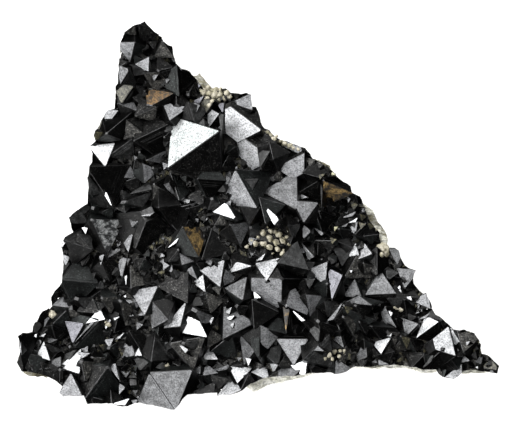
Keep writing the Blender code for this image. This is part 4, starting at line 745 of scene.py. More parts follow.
def contact_height(x, y):
    """Height of the rock's upper side."""
    swell = CONTACT_SWELL * math.sin(x / SWELL_LENGTHS[0] + SWELL_START) * math.cos(y / SWELL_LENGTHS[1])
    wave = CONTACT_WAVE * math.sin(x / WAVE_LENGTHS[0] + y / WAVE_LENGTHS[1])
    away = math.hypot(x - MIDDLE_PLACE[0], y - MIDDLE_PLACE[1]) / MIDDLE_REACH
    return PLATE_THICKNESS + swell + wave + MIDDLE_RISE * math.exp(-away * away)


def bed_height(point):
    return contact_height(point[0], point[1]) + BED_THICKNESS


def face_normal(corners, lean):
    """Normal of the equilateral face that shows these corners from the front."""
    points = np.array(corners, float)
    plan = (points[:2] - points.mean(axis=0)).T @ np.linalg.inv(CORNER_DIRECTIONS)
    axes, radii, _ = np.linalg.svd(plan)
    steepest = axes[:, 1] * np.sign(axes[:, 1] @ LEAN_AXIS) * lean
    cos_tilt = radii[1] / radii[0]
    return np.append(steepest * math.sqrt(1 - cos_tilt * cos_tilt), cos_tilt)


def crystal_behind(corners, normal, depth):
    """Six corners with the middle of the shown face at height zero: three on that face, then three behind.

    The depth is that of the crystal's middle under the face, as a share of the root of the face's area.
    """
    plan = np.array(corners, float)
    middle = plan.mean(axis=0)
    heights = -((plan - middle) @ normal[:2]) / normal[2]
    front = np.column_stack([plan, heights])
    area = np.linalg.norm(np.cross(front[1] - front[0], front[2] - front[0])) / 2
    centre = np.append(middle, 0.0) - normal * depth * math.sqrt(area)
    return np.vstack([front, 2 * centre - front])


def octahedron(corners, lean):
    """The crystal that shows these corners from the front.

    A face narrow enough to stand steeper than the steepest belongs to a crystal stretched along it.
    """
    normal = face_normal(corners, lean)
    if normal[2] < math.cos(MOST_TILT):
        steepest = normal[:2] / np.linalg.norm(normal[:2])
        normal = np.append(steepest * math.sin(MOST_TILT), math.cos(MOST_TILT))
    return crystal_behind(corners, normal, CENTRE_DEPTH)


def octahedron_faces(corners):
    """The eight faces, each with its corners anticlockwise from outside."""
    centre = corners.mean(axis=0)
    faces = []
    for a in ANTIPODES[0]:
        for b in ANTIPODES[1]:
            for c in ANTIPODES[2]:
                out = np.cross(corners[b] - corners[a], corners[c] - corners[a])
                outward = out @ (corners[a] - centre) > 0
                faces.append((a, b, c) if outward else (a, c, b))
    return faces


def upper_and_lower(corners, points):
    """Heights of a crystal's upper and lower side at plan points, where it has any."""
    upper = np.full(len(points), np.inf)
    lower = np.full(len(points), -np.inf)
    for face in octahedron_faces(corners):
        a, b, c = corners[list(face)]
        normal = np.cross(b - a, c - a)
        if abs(normal[2]) > UPRIGHT * np.linalg.norm(normal):
            height = a[2] - ((points - a[:2]) @ normal[:2]) / normal[2]
            if normal[2] > 0:
                upper = np.minimum(upper, height)
            else:
                lower = np.maximum(lower, height)
    upper[upper < lower] = -np.inf
    return upper, lower


def covering(crystals):
    """How much higher crystal i stands over the shown face of crystal j than that face, at equal levels."""
    samples = np.array([FACE_SAMPLES @ corners[:3] for corners in crystals])
    points = samples[:, :, :2].reshape(-1, 2)
    cover = np.full((len(crystals), len(crystals)), -np.inf)
    for i, corners in enumerate(crystals):
        upper, _ = upper_and_lower(corners, points)
        cover[i] = (upper.reshape(len(crystals), -1) - samples[:, :, 2]).max(axis=1)
        cover[i, i] = -np.inf
    return cover


def cover_of_grains(crystals):
    """The height of each crystal over each grain's middle, and the height of that middle."""
    grains = [grain for group in GRAINS.values() for grain in group]
    points = np.array([grain[:2] for grain in grains])
    cover = np.array([upper_and_lower(corners, points)[0] for corners in crystals])
    levels = np.array([bed_height(grain) + GRAIN_LIFT for grain in grains])
    return cover, levels


def settle(crystals, start, fixed, rise, kept):
    """Moves crystals up and down until, as far as they can, none hides the shown face of another.

    The first crystals may be fixed. The others rise by a share of what hides them, and sink where they hide
    each other or the ones that are kept clear.
    """
    cover = covering(crystals)
    cover[fixed:, kept:fixed] = -np.inf
    grain_cover, grain_levels = cover_of_grains(crystals)
    movable = np.arange(len(crystals)) >= fixed
    levels = start.copy()
    for _ in range(SETTLE_ROUNDS):
        lack = np.maximum(levels[:, None] + cover + FACE_CLEARANCE - levels[None, :], 0)
        over_grain = np.maximum(levels[:, None] + grain_cover - grain_levels[None, :], 0)
        push = rise * lack.max(axis=0) - lack.max(axis=1) - GRAIN_PUSH * over_grain.max(axis=1)
        levels += movable * (SETTLE_RATE * push + SETTLE_SPRING * (start - levels))
    hiding = (levels[:, None] + cover - levels[None, :])[:, :fixed].max(axis=1, initial=-np.inf)
    return levels, hiding


def resting_level(corners, lift):
    """Height of the middle of the shown face of a crystal that grows out of the bed."""
    edge = np.linalg.norm(corners[0] - corners[1])
    centre_below_face = -corners.mean(axis=0)[2]
    return bed_height(corners[:3].mean(axis=0)) + lift * edge + centre_below_face


def inside(point, outline):
    """Whether a plan point lies in the outline."""
    x, y = point[:2]
    within = False
    for (x0, y0), (x1, y1) in zip(outline, outline[1:] + outline[:1]):
        if (y0 > y) != (y1 > y) and x < x0 + (y - y0) / (y1 - y0) * (x1 - x0):
            within = not within
    return within


def lean_heading(lean, most_swing, draw):
    """The plan direction in which a face leans, up to some degrees off the common one."""
    swing = math.radians(draw.uniform(-most_swing, most_swing))
    return math.atan2(*LEAN_AXIS[::-1] * lean) + swing


def small_crystal(draw, place, edge):
    """A crystal of random attitude with its shown face over a plan point."""
    tilt = math.radians(draw.uniform(*SMALL_TILT))
    lean = UP_LEFT if draw.random() < SMALL_UP_LEFT_SHARE else DOWN_RIGHT
    heading = lean_heading(lean, SMALL_HEADING, draw)
    turn = draw.uniform(0, 2 * math.pi)
    across = np.array((-math.sin(heading), math.cos(heading)))
    along = np.array((math.cos(heading), math.sin(heading))) * math.cos(tilt)
    corners = []
    for k in range(3):
        angle = turn + k * 2 * math.pi / 3
        arm = math.cos(angle) * across + math.sin(angle) * along
        corners.append(tuple(place + edge / math.sqrt(3) * arm))
    return octahedron(corners, lean)


def tops(crystals, levels, points):
    """Height of each crystal at each plan point."""
    return np.array([upper_and_lower(c, points)[0] + level for c, level in zip(crystals, levels)])


def front_points(step):
    """Plan points all over the front."""
    xs, ys = (np.arange(0, size, step) for size in PLATE_SIZE)
    return np.array([(x, y) for y in ys for x in xs])


def small_crystals(crystals, levels, outline, seed, edges, needed_below, most):
    """Fills the places that no larger crystal stands over, the widest first."""
    draw = random.Random(seed)
    points = np.array([point for point in front_points(ROOM_STEP) if inside(point, outline)])
    beds = np.array([bed_height(point) for point in points])
    faces = [[tuple(corner[:2]) for corner in crystal[:3]] for crystal in crystals] + [twin_face()]
    on_face = np.array([any(inside(point, face) for face in faces) for point in points])
    free = (tops(crystals, levels, points).max(axis=0) < beds + needed_below) & ~on_face
    places, taken = points[free], points[~free]
    room = np.array([np.linalg.norm(taken - place, axis=1).min() for place in places])
    found = []
    while room.max() > LEAST_ROOM and len(found) < most:
        place = places[room.argmax()]
        edge = min(max(EDGE_TO_ROOM * room.max(), edges[0]), edges[1])
        found.append(small_crystal(draw, place, edge))
        room = np.minimum(room, np.linalg.norm(places - place, axis=1) - SMALL_REACH * edge)
    return found


def showing(crystals, levels):
    """How much of the front each crystal makes up, in square millimetres."""
    front = tops(crystals, levels, front_points(VIEW_STEP)).argmax(axis=0)
    return np.bincount(front, minlength=len(crystals)) * VIEW_STEP ** 2


def twin_face():
    """The corners of the twin's shown face in plan."""
    start, end, far = (np.array(corner) for corner in TWINNED_CORNERS)
    return [tuple(start), tuple(end), tuple(start + end - far)]


def twin_of(crystals):
    """The twin, turned half a turn in the plane of its partner's shown face, about their common line."""
    start, end, far = (np.array(corner) for corner in TWINNED_CORNERS)
    partner = next(c for c in crystals if np.allclose(c[0, :2], far))
    ends = [next(p for p in partner[:3] if np.allclose(p[:2], corner)) for corner in (start, end)]
    middle = (ends[0] + ends[1]) / 2
    normal = np.cross(partner[1] - partner[0], partner[2] - partner[0])
    normal /= np.linalg.norm(normal)
    offset = partner - middle
    return middle - offset + 2 * np.outer(offset @ normal, normal)


def inset_outline(under_crystals, widths):
    """The outline moved inwards where crystals make it, and by the width of bare rock where that does."""
    points = [Vector(point) for _, run in OUTLINE for point in run]
    insets = [widths.get(point, BARE_ROCK) if kind == "rock" else under_crystals
              for kind, run in OUTLINE for point in run]
    count = len(points)
    moved = []
    for i, (point, inset) in enumerate(zip(points, insets)):
        along = points[(i + TANGENT_REACH) % count] - points[i - TANGENT_REACH]
        inwards = Vector((along.y, -along.x)).normalized()
        moved.append(tuple(point + inwards * inset))
    return moved


def new_object(name, mesh):
    obj = bpy.data.objects.new(name, mesh)
    bpy.context.scene.collection.objects.link(obj)
    return obj


def mesh_object(name, vertices, faces):
    mesh = bpy.data.meshes.new(name)
    mesh.from_pydata([tuple(vertex) for vertex in vertices], [], faces)
    return new_object(name, mesh)


def filled(obj, shape):
    """An object with a bmesh as its mesh, its faces pointing out."""
    bmesh.ops.recalc_face_normals(shape, faces=shape.faces)
    shape.to_mesh(obj.data)
    shape.free()
    return obj


def with_face_materials(obj, words):
    """Gives a shape every crystal material, and each of its faces the one with its word."""
    for word in FACE_FINISH_AND_LIGHT_ORDER:
        obj.data.materials.append(bpy.data.materials["magnetite_" + word])
    obj.data.polygons.foreach_set("material_index", [FACE_FINISH_AND_LIGHT_ORDER.index(word) for word in words])
    return obj


def block(name, vertices, faces):
    """A closed block in the material of the bed."""
    obj = mesh_object(name, vertices, faces)
    shape = bmesh.new()
    shape.from_mesh(obj.data)
    return with_face_materials(filled(obj, shape), ["bed"] * len(faces))


def small_painted_tone(draw, corners, unlit=SMALL_UNLIT_PAINTED_SHADES):
    """The tone of a small crystal: painted light and shade if it leans to the light, painted shade if not."""
    normal = np.cross(corners[1] - corners[0], corners[2] - corners[0])
    normal *= np.sign(normal[2])
    lit = normal[:2] @ LEAN_AXIS > 0
    return draw.choice(SMALL_LIT_PAINTED_TONES if lit else unlit)


def druse(crystals, outline):
    """Very small crystals all over the bed that the larger ones leave bare."""
    draw = random.Random(DRUSE_SEED)
    points = np.array([point for point in front_points(DRUSE_STEP) if inside(point, outline)])
    levels = np.zeros(len(crystals))
    over = tops(crystals, levels, points).max(axis=0)
    found = []
    for point, top in zip(points, over):
        bed = bed_height(point)
        if top > bed + DRUSE_NEEDED_BELOW:
            continue
        edge = draw.uniform(*DRUSE_EDGE)
        place = point + (draw.uniform(-1, 1) * DRUSE_SCATTER, draw.uniform(-1, 1) * DRUSE_SCATTER)
        corners = small_crystal(draw, place, edge)
        lift = bed + draw.uniform(*DRUSE_LIFT) * edge
        found.append((corners + (0, 0, lift), small_painted_tone(draw, corners, DRUSE_PAINTED_SHADES_AND_OLIVE)))
    return found


def rim_druse(outline):
    """Small crystals on the broken side of the crust, right round."""
    draw = random.Random(RIM_SEED)
    found = []
    for start, end in zip(outline, outline[1:] + outline[:1]):
        start, end = np.array(start), np.array(end)
        length = np.linalg.norm(end - start)
        inwards = np.array(((end - start)[1], -(end - start)[0])) / length
        for _ in range(max(1, round(length / RIM_STEP))):
            edge = draw.uniform(*RIM_EDGE)
            place = start + (end - start) * draw.random() + inwards * edge * RIM_INSET
            corners = small_crystal(draw, place, edge)
            level = contact_height(*place) + draw.uniform(*RIM_LEVELS)
            found.append((corners + (0, 0, level), small_painted_tone(draw, corners, DRUSE_PAINTED_SHADES_AND_OLIVE)))
    return found


def cut_ring(corners, cuts):
    """The outline of a triangle with its corners cut off, as two points at each corner."""
    ring = []
    for k in range(3):
        for other in (k - 1, (k + 1) % 3):
            ring.append(corners[k] + (corners[other] - corners[k]) * cuts[k])
    return np.array(ring)


def growth_rings(corners, cuts, draw):
    """The outline of a face, then those of low growth layers on it, smaller and about one of its points."""
    a, b, c = corners
    across = np.cross(b - a, c - a)
    size = math.sqrt(np.linalg.norm(across))
    normal = across / np.linalg.norm(across)
    shares = np.array([draw.uniform(*LAYER_HEART) for _ in range(3)])
    heart = shares / shares.sum() @ corners
    layers = draw.randint(*LAYERS) if size > LEAST_LAYERED else 0
    base = cut_ring(corners, cuts)
    rings = [base]
    height = 0.0
    share = 1.0
    for _ in range(layers):
        share *= draw.uniform(*LAYER_SHARE)
        rings.append(heart + (base - heart) * share + normal * height)
        height += draw.uniform(*LAYER_HEIGHT) * draw.choice(LAYER_SIGNS)
        share -= LAYER_RISER / size
        if share < LEAST_LAYER:
            break
        rings.append(heart + (base - heart) * share + normal * height)
    return rings


def band(first, count):
    """The faces between a ring of points, numbered from the first on, and the ring after it."""
    pairs = [(first + k, first + (k + 1) % count) for k in range(count)]
    return [(p, q, q + count, p + count) for p, q in pairs]


def stepped(rings, first):
    """The faces of growth layers: a band from each ring to the next, and the inside of the last."""
    count = len(rings[0])
    last = first + count * (len(rings) - 1)
    bands = [face for start in range(first, last, count) for face in band(start, count)]
    return bands + [tuple(range(last, last + count))]


def corner_cuts(corners, most, draw):
    """How much of its edges each corner loses: what the table says, or a random share up to the most."""
    return [BLUNT_CORNERS.get(tuple(np.round(corner[:2], TABLE_DIGITS)), draw.uniform(0, most))
            for corner in corners]


def face_finish_or_painted_shade(face, finish_and_painted_light, draw):
    """The tone of one face of a crystal: its own if it is the shown one, otherwise painted shade."""
    return finish_and_painted_light if sorted(face) == [0, 1, 2] else draw.choice(SIDE_PAINTED_SHADES)


def edge_faces(corners, inner):
    """The narrow bevel along each of the twelve edges."""
    all_faces = octahedron_faces(corners)
    bevels = []
    for i, first in enumerate(all_faces):
        for second in all_faces[i + 1:]:
            shared = [corner for corner in first if corner in second]
            if len(shared) == 2:
                a, b = shared
                if (first.index(b) - first.index(a)) % 3 == 1:
                    a, b = b, a
                bevels.append((inner[first, a, b], inner[first, b, a], inner[second, b, a],
                               inner[second, a, b]))
    return bevels


def corner_faces(corners, inner):
    """The flat left at each corner, between the four faces and four bevels that meet there."""
    all_faces = octahedron_faces(corners)
    centre = corners.mean(axis=0)
    flats = []
    for corner in range(6):
        side = np.cross(corners[corner] - centre, OBLIQUE)
        up = np.cross(corners[corner] - centre, side)
        arms = {face: corners[list(face)].mean(axis=0) - corners[corner]
                for face in all_faces if corner in face}
        ring = []
        for face in sorted(arms, key=lambda face: math.atan2(arms[face] @ up, arms[face] @ side)):
            k = face.index(corner)
            ring += [inner[face, corner, face[(k + 1) % 3]], inner[face, corner, face[k - 1]]]
        flats.append(tuple(ring))
    return flats


def crystal_object(name, corners, finish_and_painted_light, most_cut, draw):
    """A closed octahedron with bevelled edges, blunt corners, and growth layers on its upward faces."""
    edge = np.linalg.norm(corners[0] - corners[1])
    width = draw.uniform(*BEVEL_SHARE) * edge
    cuts = corner_cuts(corners, most_cut, draw)
    vertices, faces, words = [], [], []
    inner = {}
    for face in octahedron_faces(corners):
        points = corners[list(face)]
        middle = points.mean(axis=0)
        shrunk = middle + (points - middle) * (1 - width * BEVEL_TO_SHRINK / edge)
        face_cuts = [cuts[corner] for corner in face]
        first = len(vertices)
        for k, corner in enumerate(face):
            inner[face, corner, face[k - 1]] = first + 2 * k
            inner[face, corner, face[(k + 1) % 3]] = first + 2 * k + 1
        upward = np.cross(points[1] - points[0], points[2] - points[0])[2] > 0
        rings = growth_rings(shrunk, face_cuts, draw) if upward else [cut_ring(shrunk, face_cuts)]
        vertices += [point for ring in rings for point in ring]
        faces += stepped(rings, first)
        words += [face_finish_or_painted_shade(face, finish_and_painted_light, draw)] * (len(faces) - len(words))
    faces += edge_faces(corners, inner) + corner_faces(corners, inner)
    words += ["edge"] * (len(faces) - len(words))
    return with_face_materials(mesh_object(name, vertices, faces), words)


def plain_crystal(name, corners, finish_and_painted_light, draw):
    """A closed octahedron with sharp edges, for the druse."""
    faces = octahedron_faces(corners)
    words = [face_finish_or_painted_shade(face, finish_and_painted_light, draw) for face in faces]
    return with_face_materials(mesh_object(name, corners, faces), words)


def even_points(outline, step):
    """Points about one step apart along a closed outline, with the outward direction at each."""
    points = []
    for start, end in zip(outline, outline[1:] + outline[:1]):
        start, end = Vector(start), Vector(end)
        count = max(1, round((end - start).length / step))
        points += [start.lerp(end, k / count) for k in range(count)]
    count = len(points)
    result = []
    for i, point in enumerate(points):
        along = points[(i + 1) % count] - points[i - 1]
        result.append((point, Vector((-along.y, along.x)).normalized()))
    return result


def broken(x, y, z, size):
    """A faceted unevenness from 0 to 1, like that of a fracture."""
    near = noise.voronoi(Vector((x, y, z)) / size)[0]
    return min(1.0, near[0] * BREAK_GAIN)


def rim_column(name, outline, low, high):
    """A tall block with a broken side, which shapes are cut down to at the specimen's rim."""
    ring = even_points(outline, RIM_POINT_STEP)
    levels = np.arange(low, high, RIM_LEVEL_STEP)
    vertices = []
    for z in levels:
        for point, outward in ring:
            depth = RIM_ROUGHNESS * broken(point.x, point.y, z, RIM_ROUGHNESS_SIZE)
            depth += RIM_TAPER * max(0.0, PLATE_THICKNESS + BED_THICKNESS + TAPER_OVER_BED - z)
            place = point - outward * depth
            vertices.append((place.x, place.y, z))
    count = len(ring)
    faces = [tuple(reversed(range(count))), tuple(range(len(vertices) - count, len(vertices)))]
    for level in range(len(levels) - 1):
        faces += band(level * count, count)
    return block(name, vertices, faces)


def uneven_block(name, raised, roughness):
    """A block whose upper side follows the contact of rock and crust, raised, with a fine unevenness."""
    margin = BED_MARGIN_CELLS * BED_CELL
    xs, ys = (np.arange(-margin, size + margin, BED_CELL) for size in PLATE_SIZE)
    vertices = []
    for y in ys:
        for x in xs:
            spot = Vector((x, y, raised))
            rise = roughness * noise.fractal(spot, BED_OCTAVE_FADE, BED_OCTAVE_STEP, BED_OCTAVES)
            vertices.append((x, y, contact_height(x, y) + raised + rise))
    vertices += [(x, y, BLOCK_FLOOR) for y in ys for x in xs]
    across, layer = len(xs), len(xs) * len(ys)
    faces = []
    for row in range(len(ys) - 1):
        for column in range(across - 1):
            a = row * across + column
            faces += [(a, a + 1, a + across + 1), (a, a + across + 1, a + across)]
            faces.append((a + layer, a + 1 + layer, a + across + 1 + layer, a + across + layer))
    rim = [(c, c + 1) for c in range(across - 1)]
    rim += [(layer - across + c, layer - across + c + 1) for c in range(across - 1)]
    rim += [(r * across, (r + 1) * across) for r in range(len(ys) - 1)]
    rim += [(r * across + across - 1, (r + 1) * across + across - 1) for r in range(len(ys) - 1)]
    faces += [(a, b, b + layer, a + layer) for a, b in rim]
    return block(name, vertices, faces)


def applied(obj):
    """An object with its modifiers turned into mesh."""
    evaluated = obj.evaluated_get(bpy.context.evaluated_depsgraph_get())
    mesh = bpy.data.meshes.new_from_object(evaluated)
    obj.modifiers.clear()
    obj.data = mesh
    return obj


def combine(obj, operation, other):
    """Applies a Boolean with an object, or with all in a collection, to an object's mesh."""
    modifier = obj.modifiers.new("combine", "BOOLEAN")
    modifier.operation = operation
    modifier.solver = "MANIFOLD"
    if isinstance(other, bpy.types.Collection):
        modifier.operand_type = "COLLECTION"
        modifier.collection = other
    else:
        modifier.object = other
    applied(obj)


def discard(objects):
    for obj in objects:
        bpy.data.objects.remove(obj)


def keep_outer_body(obj):
    """Deletes the walls of sealed hollows between crystals and any crystal that touches nothing."""
    mesh = obj.data
    count = len(mesh.vertices)
    ends = np.zeros(2 * len(mesh.edges), int)
    mesh.edges.foreach_get("vertices", ends)
    ends = ends.reshape(-1, 2)
    body = np.arange(count)
    while True:
        low = np.minimum(body[ends[:, 0]], body[ends[:, 1]])
        new = body.copy()
        np.minimum.at(new, ends[:, 0], low)
        np.minimum.at(new, ends[:, 1], low)
        new = new[new]
        if (new == body).all():
            break
        body = new
    largest = np.bincount(body).argmax()
    shape = bmesh.new()
    shape.from_mesh(mesh)
    loose = [vertex for vertex in shape.verts if body[vertex.index] != largest]
    bmesh.ops.delete(shape, geom=loose, context="VERTS")
    shape.to_mesh(mesh)
    shape.free()


def main_crystals(outline):
    """The crystals that the solids have too, with their tones, partly painted light, and how many are listed.
    """
    rows = [row for group in CRYSTALS.values() for row in group]
    large = [octahedron(row[:3], row[3]) for row in rows]
    start = np.array([resting_level(corners, CENTRE_LIFT) for corners in large])
    levels, _ = settle(large, start, fixed=0, rise=1.0, kept=0)
    small = small_crystals(large, levels, outline, SMALL_SEED, SMALL_EDGE, SMALL_NEEDED_BELOW, MOST_SMALL)
    draw = random.Random(PAINTED_TONE_SEED)
    finishes_with_painted_light = [row[4] for row in rows] + [small_painted_tone(draw, corners) for corners in small]
    everything = large + small
    start = np.append(levels, [resting_level(corners, SMALL_CENTRE_LIFT) for corners in small])
    levels, hiding = settle(everything, start, fixed=len(large), rise=SMALL_RISE, kept=len(large))
    hiding[:len(large)] = 0
    areas = showing(everything, levels)
    rows = zip(everything, finishes_with_painted_light, levels, areas, hiding)
    raised = [(corners + (0, 0, level), finish_and_painted_light) for corners, finish_and_painted_light, level, area, over in rows
              if area > LEAST_SHOWING and over < MOST_HIDING]
    return [(twin_of([corners for corners, _ in raised]), "grey")] + raised, len(large) + 1


def kept_low(corners, level):
    """A crystal at its level, or lower where it would stand higher than the solids do."""
    return corners + (0, 0, min(level, cad_box[1][2] / MM - HEADROOM - corners[:, 2].max()))


def stretched_octahedron(corners, lean, draw):
    """A crystal stretched to a shown face of any shape, with a tilt and a heading of its own."""
    tilt = math.radians(draw.uniform(*LESSER_TILT))
    heading = lean_heading(lean, LESSER_HEADING, draw)
    across = math.sin(tilt)
    normal = np.array((across * math.cos(heading), across * math.sin(heading), math.cos(tilt)))
    return crystal_behind(corners, normal, LESSER_DEPTH)


def lesser_crystals(crystals, kept):
    """The lesser crystals of the table, settled among the main ones."""
    draw = random.Random(LESSER_SEED)
    rows = [row for group in LESSER_CRYSTALS.values() for row in group]
    lesser = [stretched_octahedron(row[:3], row[3], draw) for row in rows]
    main = [corners for corners, _ in crystals]
    start = np.append(np.zeros(len(main)), [resting_level(corners, CENTRE_LIFT) for corners in lesser])
    levels, _ = settle(main + lesser, start, fixed=len(main), rise=1.0, kept=kept)
    least = [bed_height(corners[:3].mean(axis=0)) + LESSER_OVER_BED for corners in lesser]
    levels = np.maximum(levels[len(main):], least)
    return [(kept_low(corners, level), row[4]) for corners, level, row in zip(lesser, levels, rows)]


def second_tier(crystals, outline):
    """More small crystals, in the gaps between all the others."""
    others = [corners for corners, _ in crystals]
    found = small_crystals(others, np.zeros(len(others)), outline,
                           SECOND_SEED, SECOND_EDGE, SECOND_NEEDED_BELOW, MOST_SECOND)
    start = np.append(np.zeros(len(others)), [resting_level(corners, SMALL_CENTRE_LIFT) for corners in found])
    levels, _ = settle(others + found, start, fixed=len(others), rise=SMALL_RISE, kept=len(others))
    draw = random.Random(SECOND_SEED)
    return [(kept_low(corners, level), small_painted_tone(draw, corners))
            for corners, level in zip(found, levels[len(others):])]


def all_crystals(outline):
    """The main crystals, the lesser ones and the second tier, each with how blunt its corners may be."""
    main, kept = main_crystals(inset_outline(0.0, {}))
    lesser = lesser_crystals(main, kept)
    second = second_tier(main + lesser, outline)
    tiers = ((main, MAIN_CUT), (lesser, LESSER_CUT), (second, SECOND_CUT))
    return [(corners, finish_and_painted_light, most_cut) for tier, most_cut in tiers for corners, finish_and_painted_light in tier]


def crust(crystals, outline):
    """The crystals, the bed and the druse in one solid, broken off at the rim."""
    draw = random.Random(LAYER_SEED)
    fine = druse([corners for corners, _, _ in crystals], outline) + rim_druse(outline)
    pieces = bpy.data.collections.new("crystal_pieces")
    bpy.context.scene.collection.children.link(pieces)
    made = [crystal_object("crystal", *crystal, draw) for crystal in crystals]
    made += [plain_crystal("druse", *crystal, draw) for crystal in fine]
    for piece in made:
        bpy.context.scene.collection.objects.unlink(piece)
        pieces.objects.link(piece)
    bed_outline = inset_outline(BED_UNDER_CRYSTALS, BARE_WIDTHS)
    bed = rim_column("magnetite_crystals", bed_outline, BED_ROOT, BLANK_TOP)
    blocks = [uneven_block("bed_top", BED_THICKNESS, BED_ROUGHNESS),
              uneven_block("bed_underside", BED_UNDERSIDE, 0.0),
              rim_column("rim", outline, *TRIM_SPAN)]
    combine(bed, "INTERSECT", blocks[0])
    combine(bed, "UNION", pieces)
    combine(bed, "INTERSECT", blocks[2])
    combine(bed, "DIFFERENCE", blocks[1])
    keep_outer_body(bed)
    discard(made + blocks)
    bpy.data.collections.remove(pieces)
    return bed


def node_in_millimetres(name, node):
    """A copy of a node's solid, in millimetres from the lower left corner."""
    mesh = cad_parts[node].data.copy()
    mesh.transform(Matrix.Translation((*PLATE_CENTRE, 0.0)) @ Matrix.Scale(1 / MM, 4))
    return new_object(name, mesh)


def remeshed(obj, voxel):
    """Turns a shape into one even, fine mesh."""
    modifier = obj.modifiers.new("even", "REMESH")
    modifier.mode = "VOXEL"
    modifier.voxel_size = voxel
    return applied(obj)


def rock():
    """The rock with a broken side and granular surface, flat where it rests."""
    obj = remeshed(node_in_millimetres("rock", "matrix"), ROCK_VOXEL)
    mesh = obj.data
    places = np.zeros(3 * len(mesh.vertices))
    mesh.vertices.foreach_get("co", places)
    places = places.reshape(-1, 3)
    normals = np.array([vertex.normal for vertex in mesh.vertices])
    moved = places.copy()
    for i, (place, normal) in enumerate(zip(places, normals)):
        spot = Vector(place)
        breaks = broken(*spot, ROCK_BREAK_SIZE) * ROCK_BREAK_DEPTH
        chips = broken(*spot, ROCK_CHIP_SIZE) * ROCK_CHIP_DEPTH
        grain = noise.noise(spot / ROCK_GRAIN_SIZE) * ROCK_GRAIN_DEPTH
        foot = min(1.0, place[2] / ROCK_FOOT)
        moved[i] -= normal * (breaks + chips + grain) * foot
    mesh.vertices.foreach_set("co", moved.ravel())
    mesh.update()
    return obj


def add_grain(shape, place, width, draw):
    """Adds an ellipsoid of random proportions and attitude."""
    stretch = Matrix.Diagonal([1 + draw.uniform(-1, 1) * GRAIN_STRETCH for _ in range(3)]).to_4x4()
    turn = Matrix.Rotation(draw.uniform(0, math.pi), 4, Vector((draw.random(), draw.random(), 1.0)))
    placed = Matrix.Translation(place) @ turn @ stretch
    bmesh.ops.create_icosphere(shape, subdivisions=GRAIN_SPLITS, radius=width / 2, matrix=placed)


def grain_place(x, y, width):
    """The middle of a grain in its pocket in the bed."""
    return Vector((x, y, bed_height((x, y)) + GRAIN_LIFT - GRAIN_SINK * width))


def grain_cluster(name, places, draw):
    """Lumpy grains, given by middle and width, as one granular body."""
    shape = bmesh.new()
    for place, width in places:
        add_grain(shape, place, width * GRAIN_OVERLAP, draw)
    obj = remeshed(filled(mesh_object(name, [], []), shape), GRAIN_VOXEL)
    for vertex in obj.data.vertices:
        lump = noise.noise(vertex.co / GRAIN_LUMP_SIZE) * GRAIN_LUMP
        lump += noise.noise(vertex.co / GRAIN_PIT_SIZE) * GRAIN_PIT
        vertex.co += vertex.normal * lump
    obj.data.shade_smooth()
    return obj


def value_node(tree, kind, **inputs):
    """A node with values on its sockets, or on itself where it has no socket of that name."""
    node = tree.nodes.new(kind)
    for key, value in inputs.items():
        if key in node.inputs:
            node.inputs[key].default_value = value
        else:
            setattr(node, key, value)
    return node


def procedural(name):
    """An empty node material with its shader and object coordinates."""
    made = bpy.data.materials.new(name)
    made.use_nodes = True
    tree = made.node_tree
    shader = tree.nodes["Principled BSDF"]
    coordinates = tree.nodes.new("ShaderNodeTexCoord")
    return made, tree, shader, coordinates.outputs["Object"]


def noise_node(tree, place, size, detail=4.0, roughness=0.6):
    node = value_node(tree, "ShaderNodeTexNoise", Scale=1 / (size * MM), Detail=detail, Roughness=roughness)
    tree.links.new(place, node.inputs["Vector"])
    return node.outputs["Fac"]


def stretched(tree, place, turn, stretch):
    """The place turned and stretched, for a texture that runs one way."""
    node = value_node(tree, "ShaderNodeMapping", Rotation=(0.0, 0.0, turn), Scale=stretch)
    tree.links.new(place, node.inputs["Vector"])
    return node.outputs["Vector"]


def ramp_node(tree, factor, stops):
    """A colour ramp with stops of position and colour."""
    node = tree.nodes.new("ShaderNodeValToRGB")
    ramp = node.color_ramp
    while len(ramp.elements) < len(stops):
        ramp.elements.new(NEW_STOP)
    for element, (position, colour) in zip(ramp.elements, stops):
        element.position = position
        element.color = (*colour, 1.0)
    tree.links.new(factor, node.inputs["Fac"])
    return node.outputs["Color"]


def multiplied(tree, first, second):
    node = tree.nodes.new("ShaderNodeMix")
    node.data_type = "RGBA"
    node.blend_type = "MULTIPLY"
    node.inputs["Factor"].default_value = 1.0
    tree.links.new(first, node.inputs[MIX_FIRST])
    tree.links.new(second, node.inputs[MIX_SECOND])
    return node.outputs[MIX_RESULT]


def grey_stops(*stops):
    return [(position, (tone, tone, tone)) for position, tone in stops]


def add_relief(tree, shader, place, size, detail, strength, depth):
    """Gives a shader a fine bump."""
    relief = noise_node(tree, place, size, detail)
    bumps = value_node(tree, "ShaderNodeBump", Strength=strength, Distance=depth * MM)
    tree.links.new(relief, bumps.inputs["Height"])
    tree.links.new(bumps.outputs["Normal"], shader.inputs["Normal"])


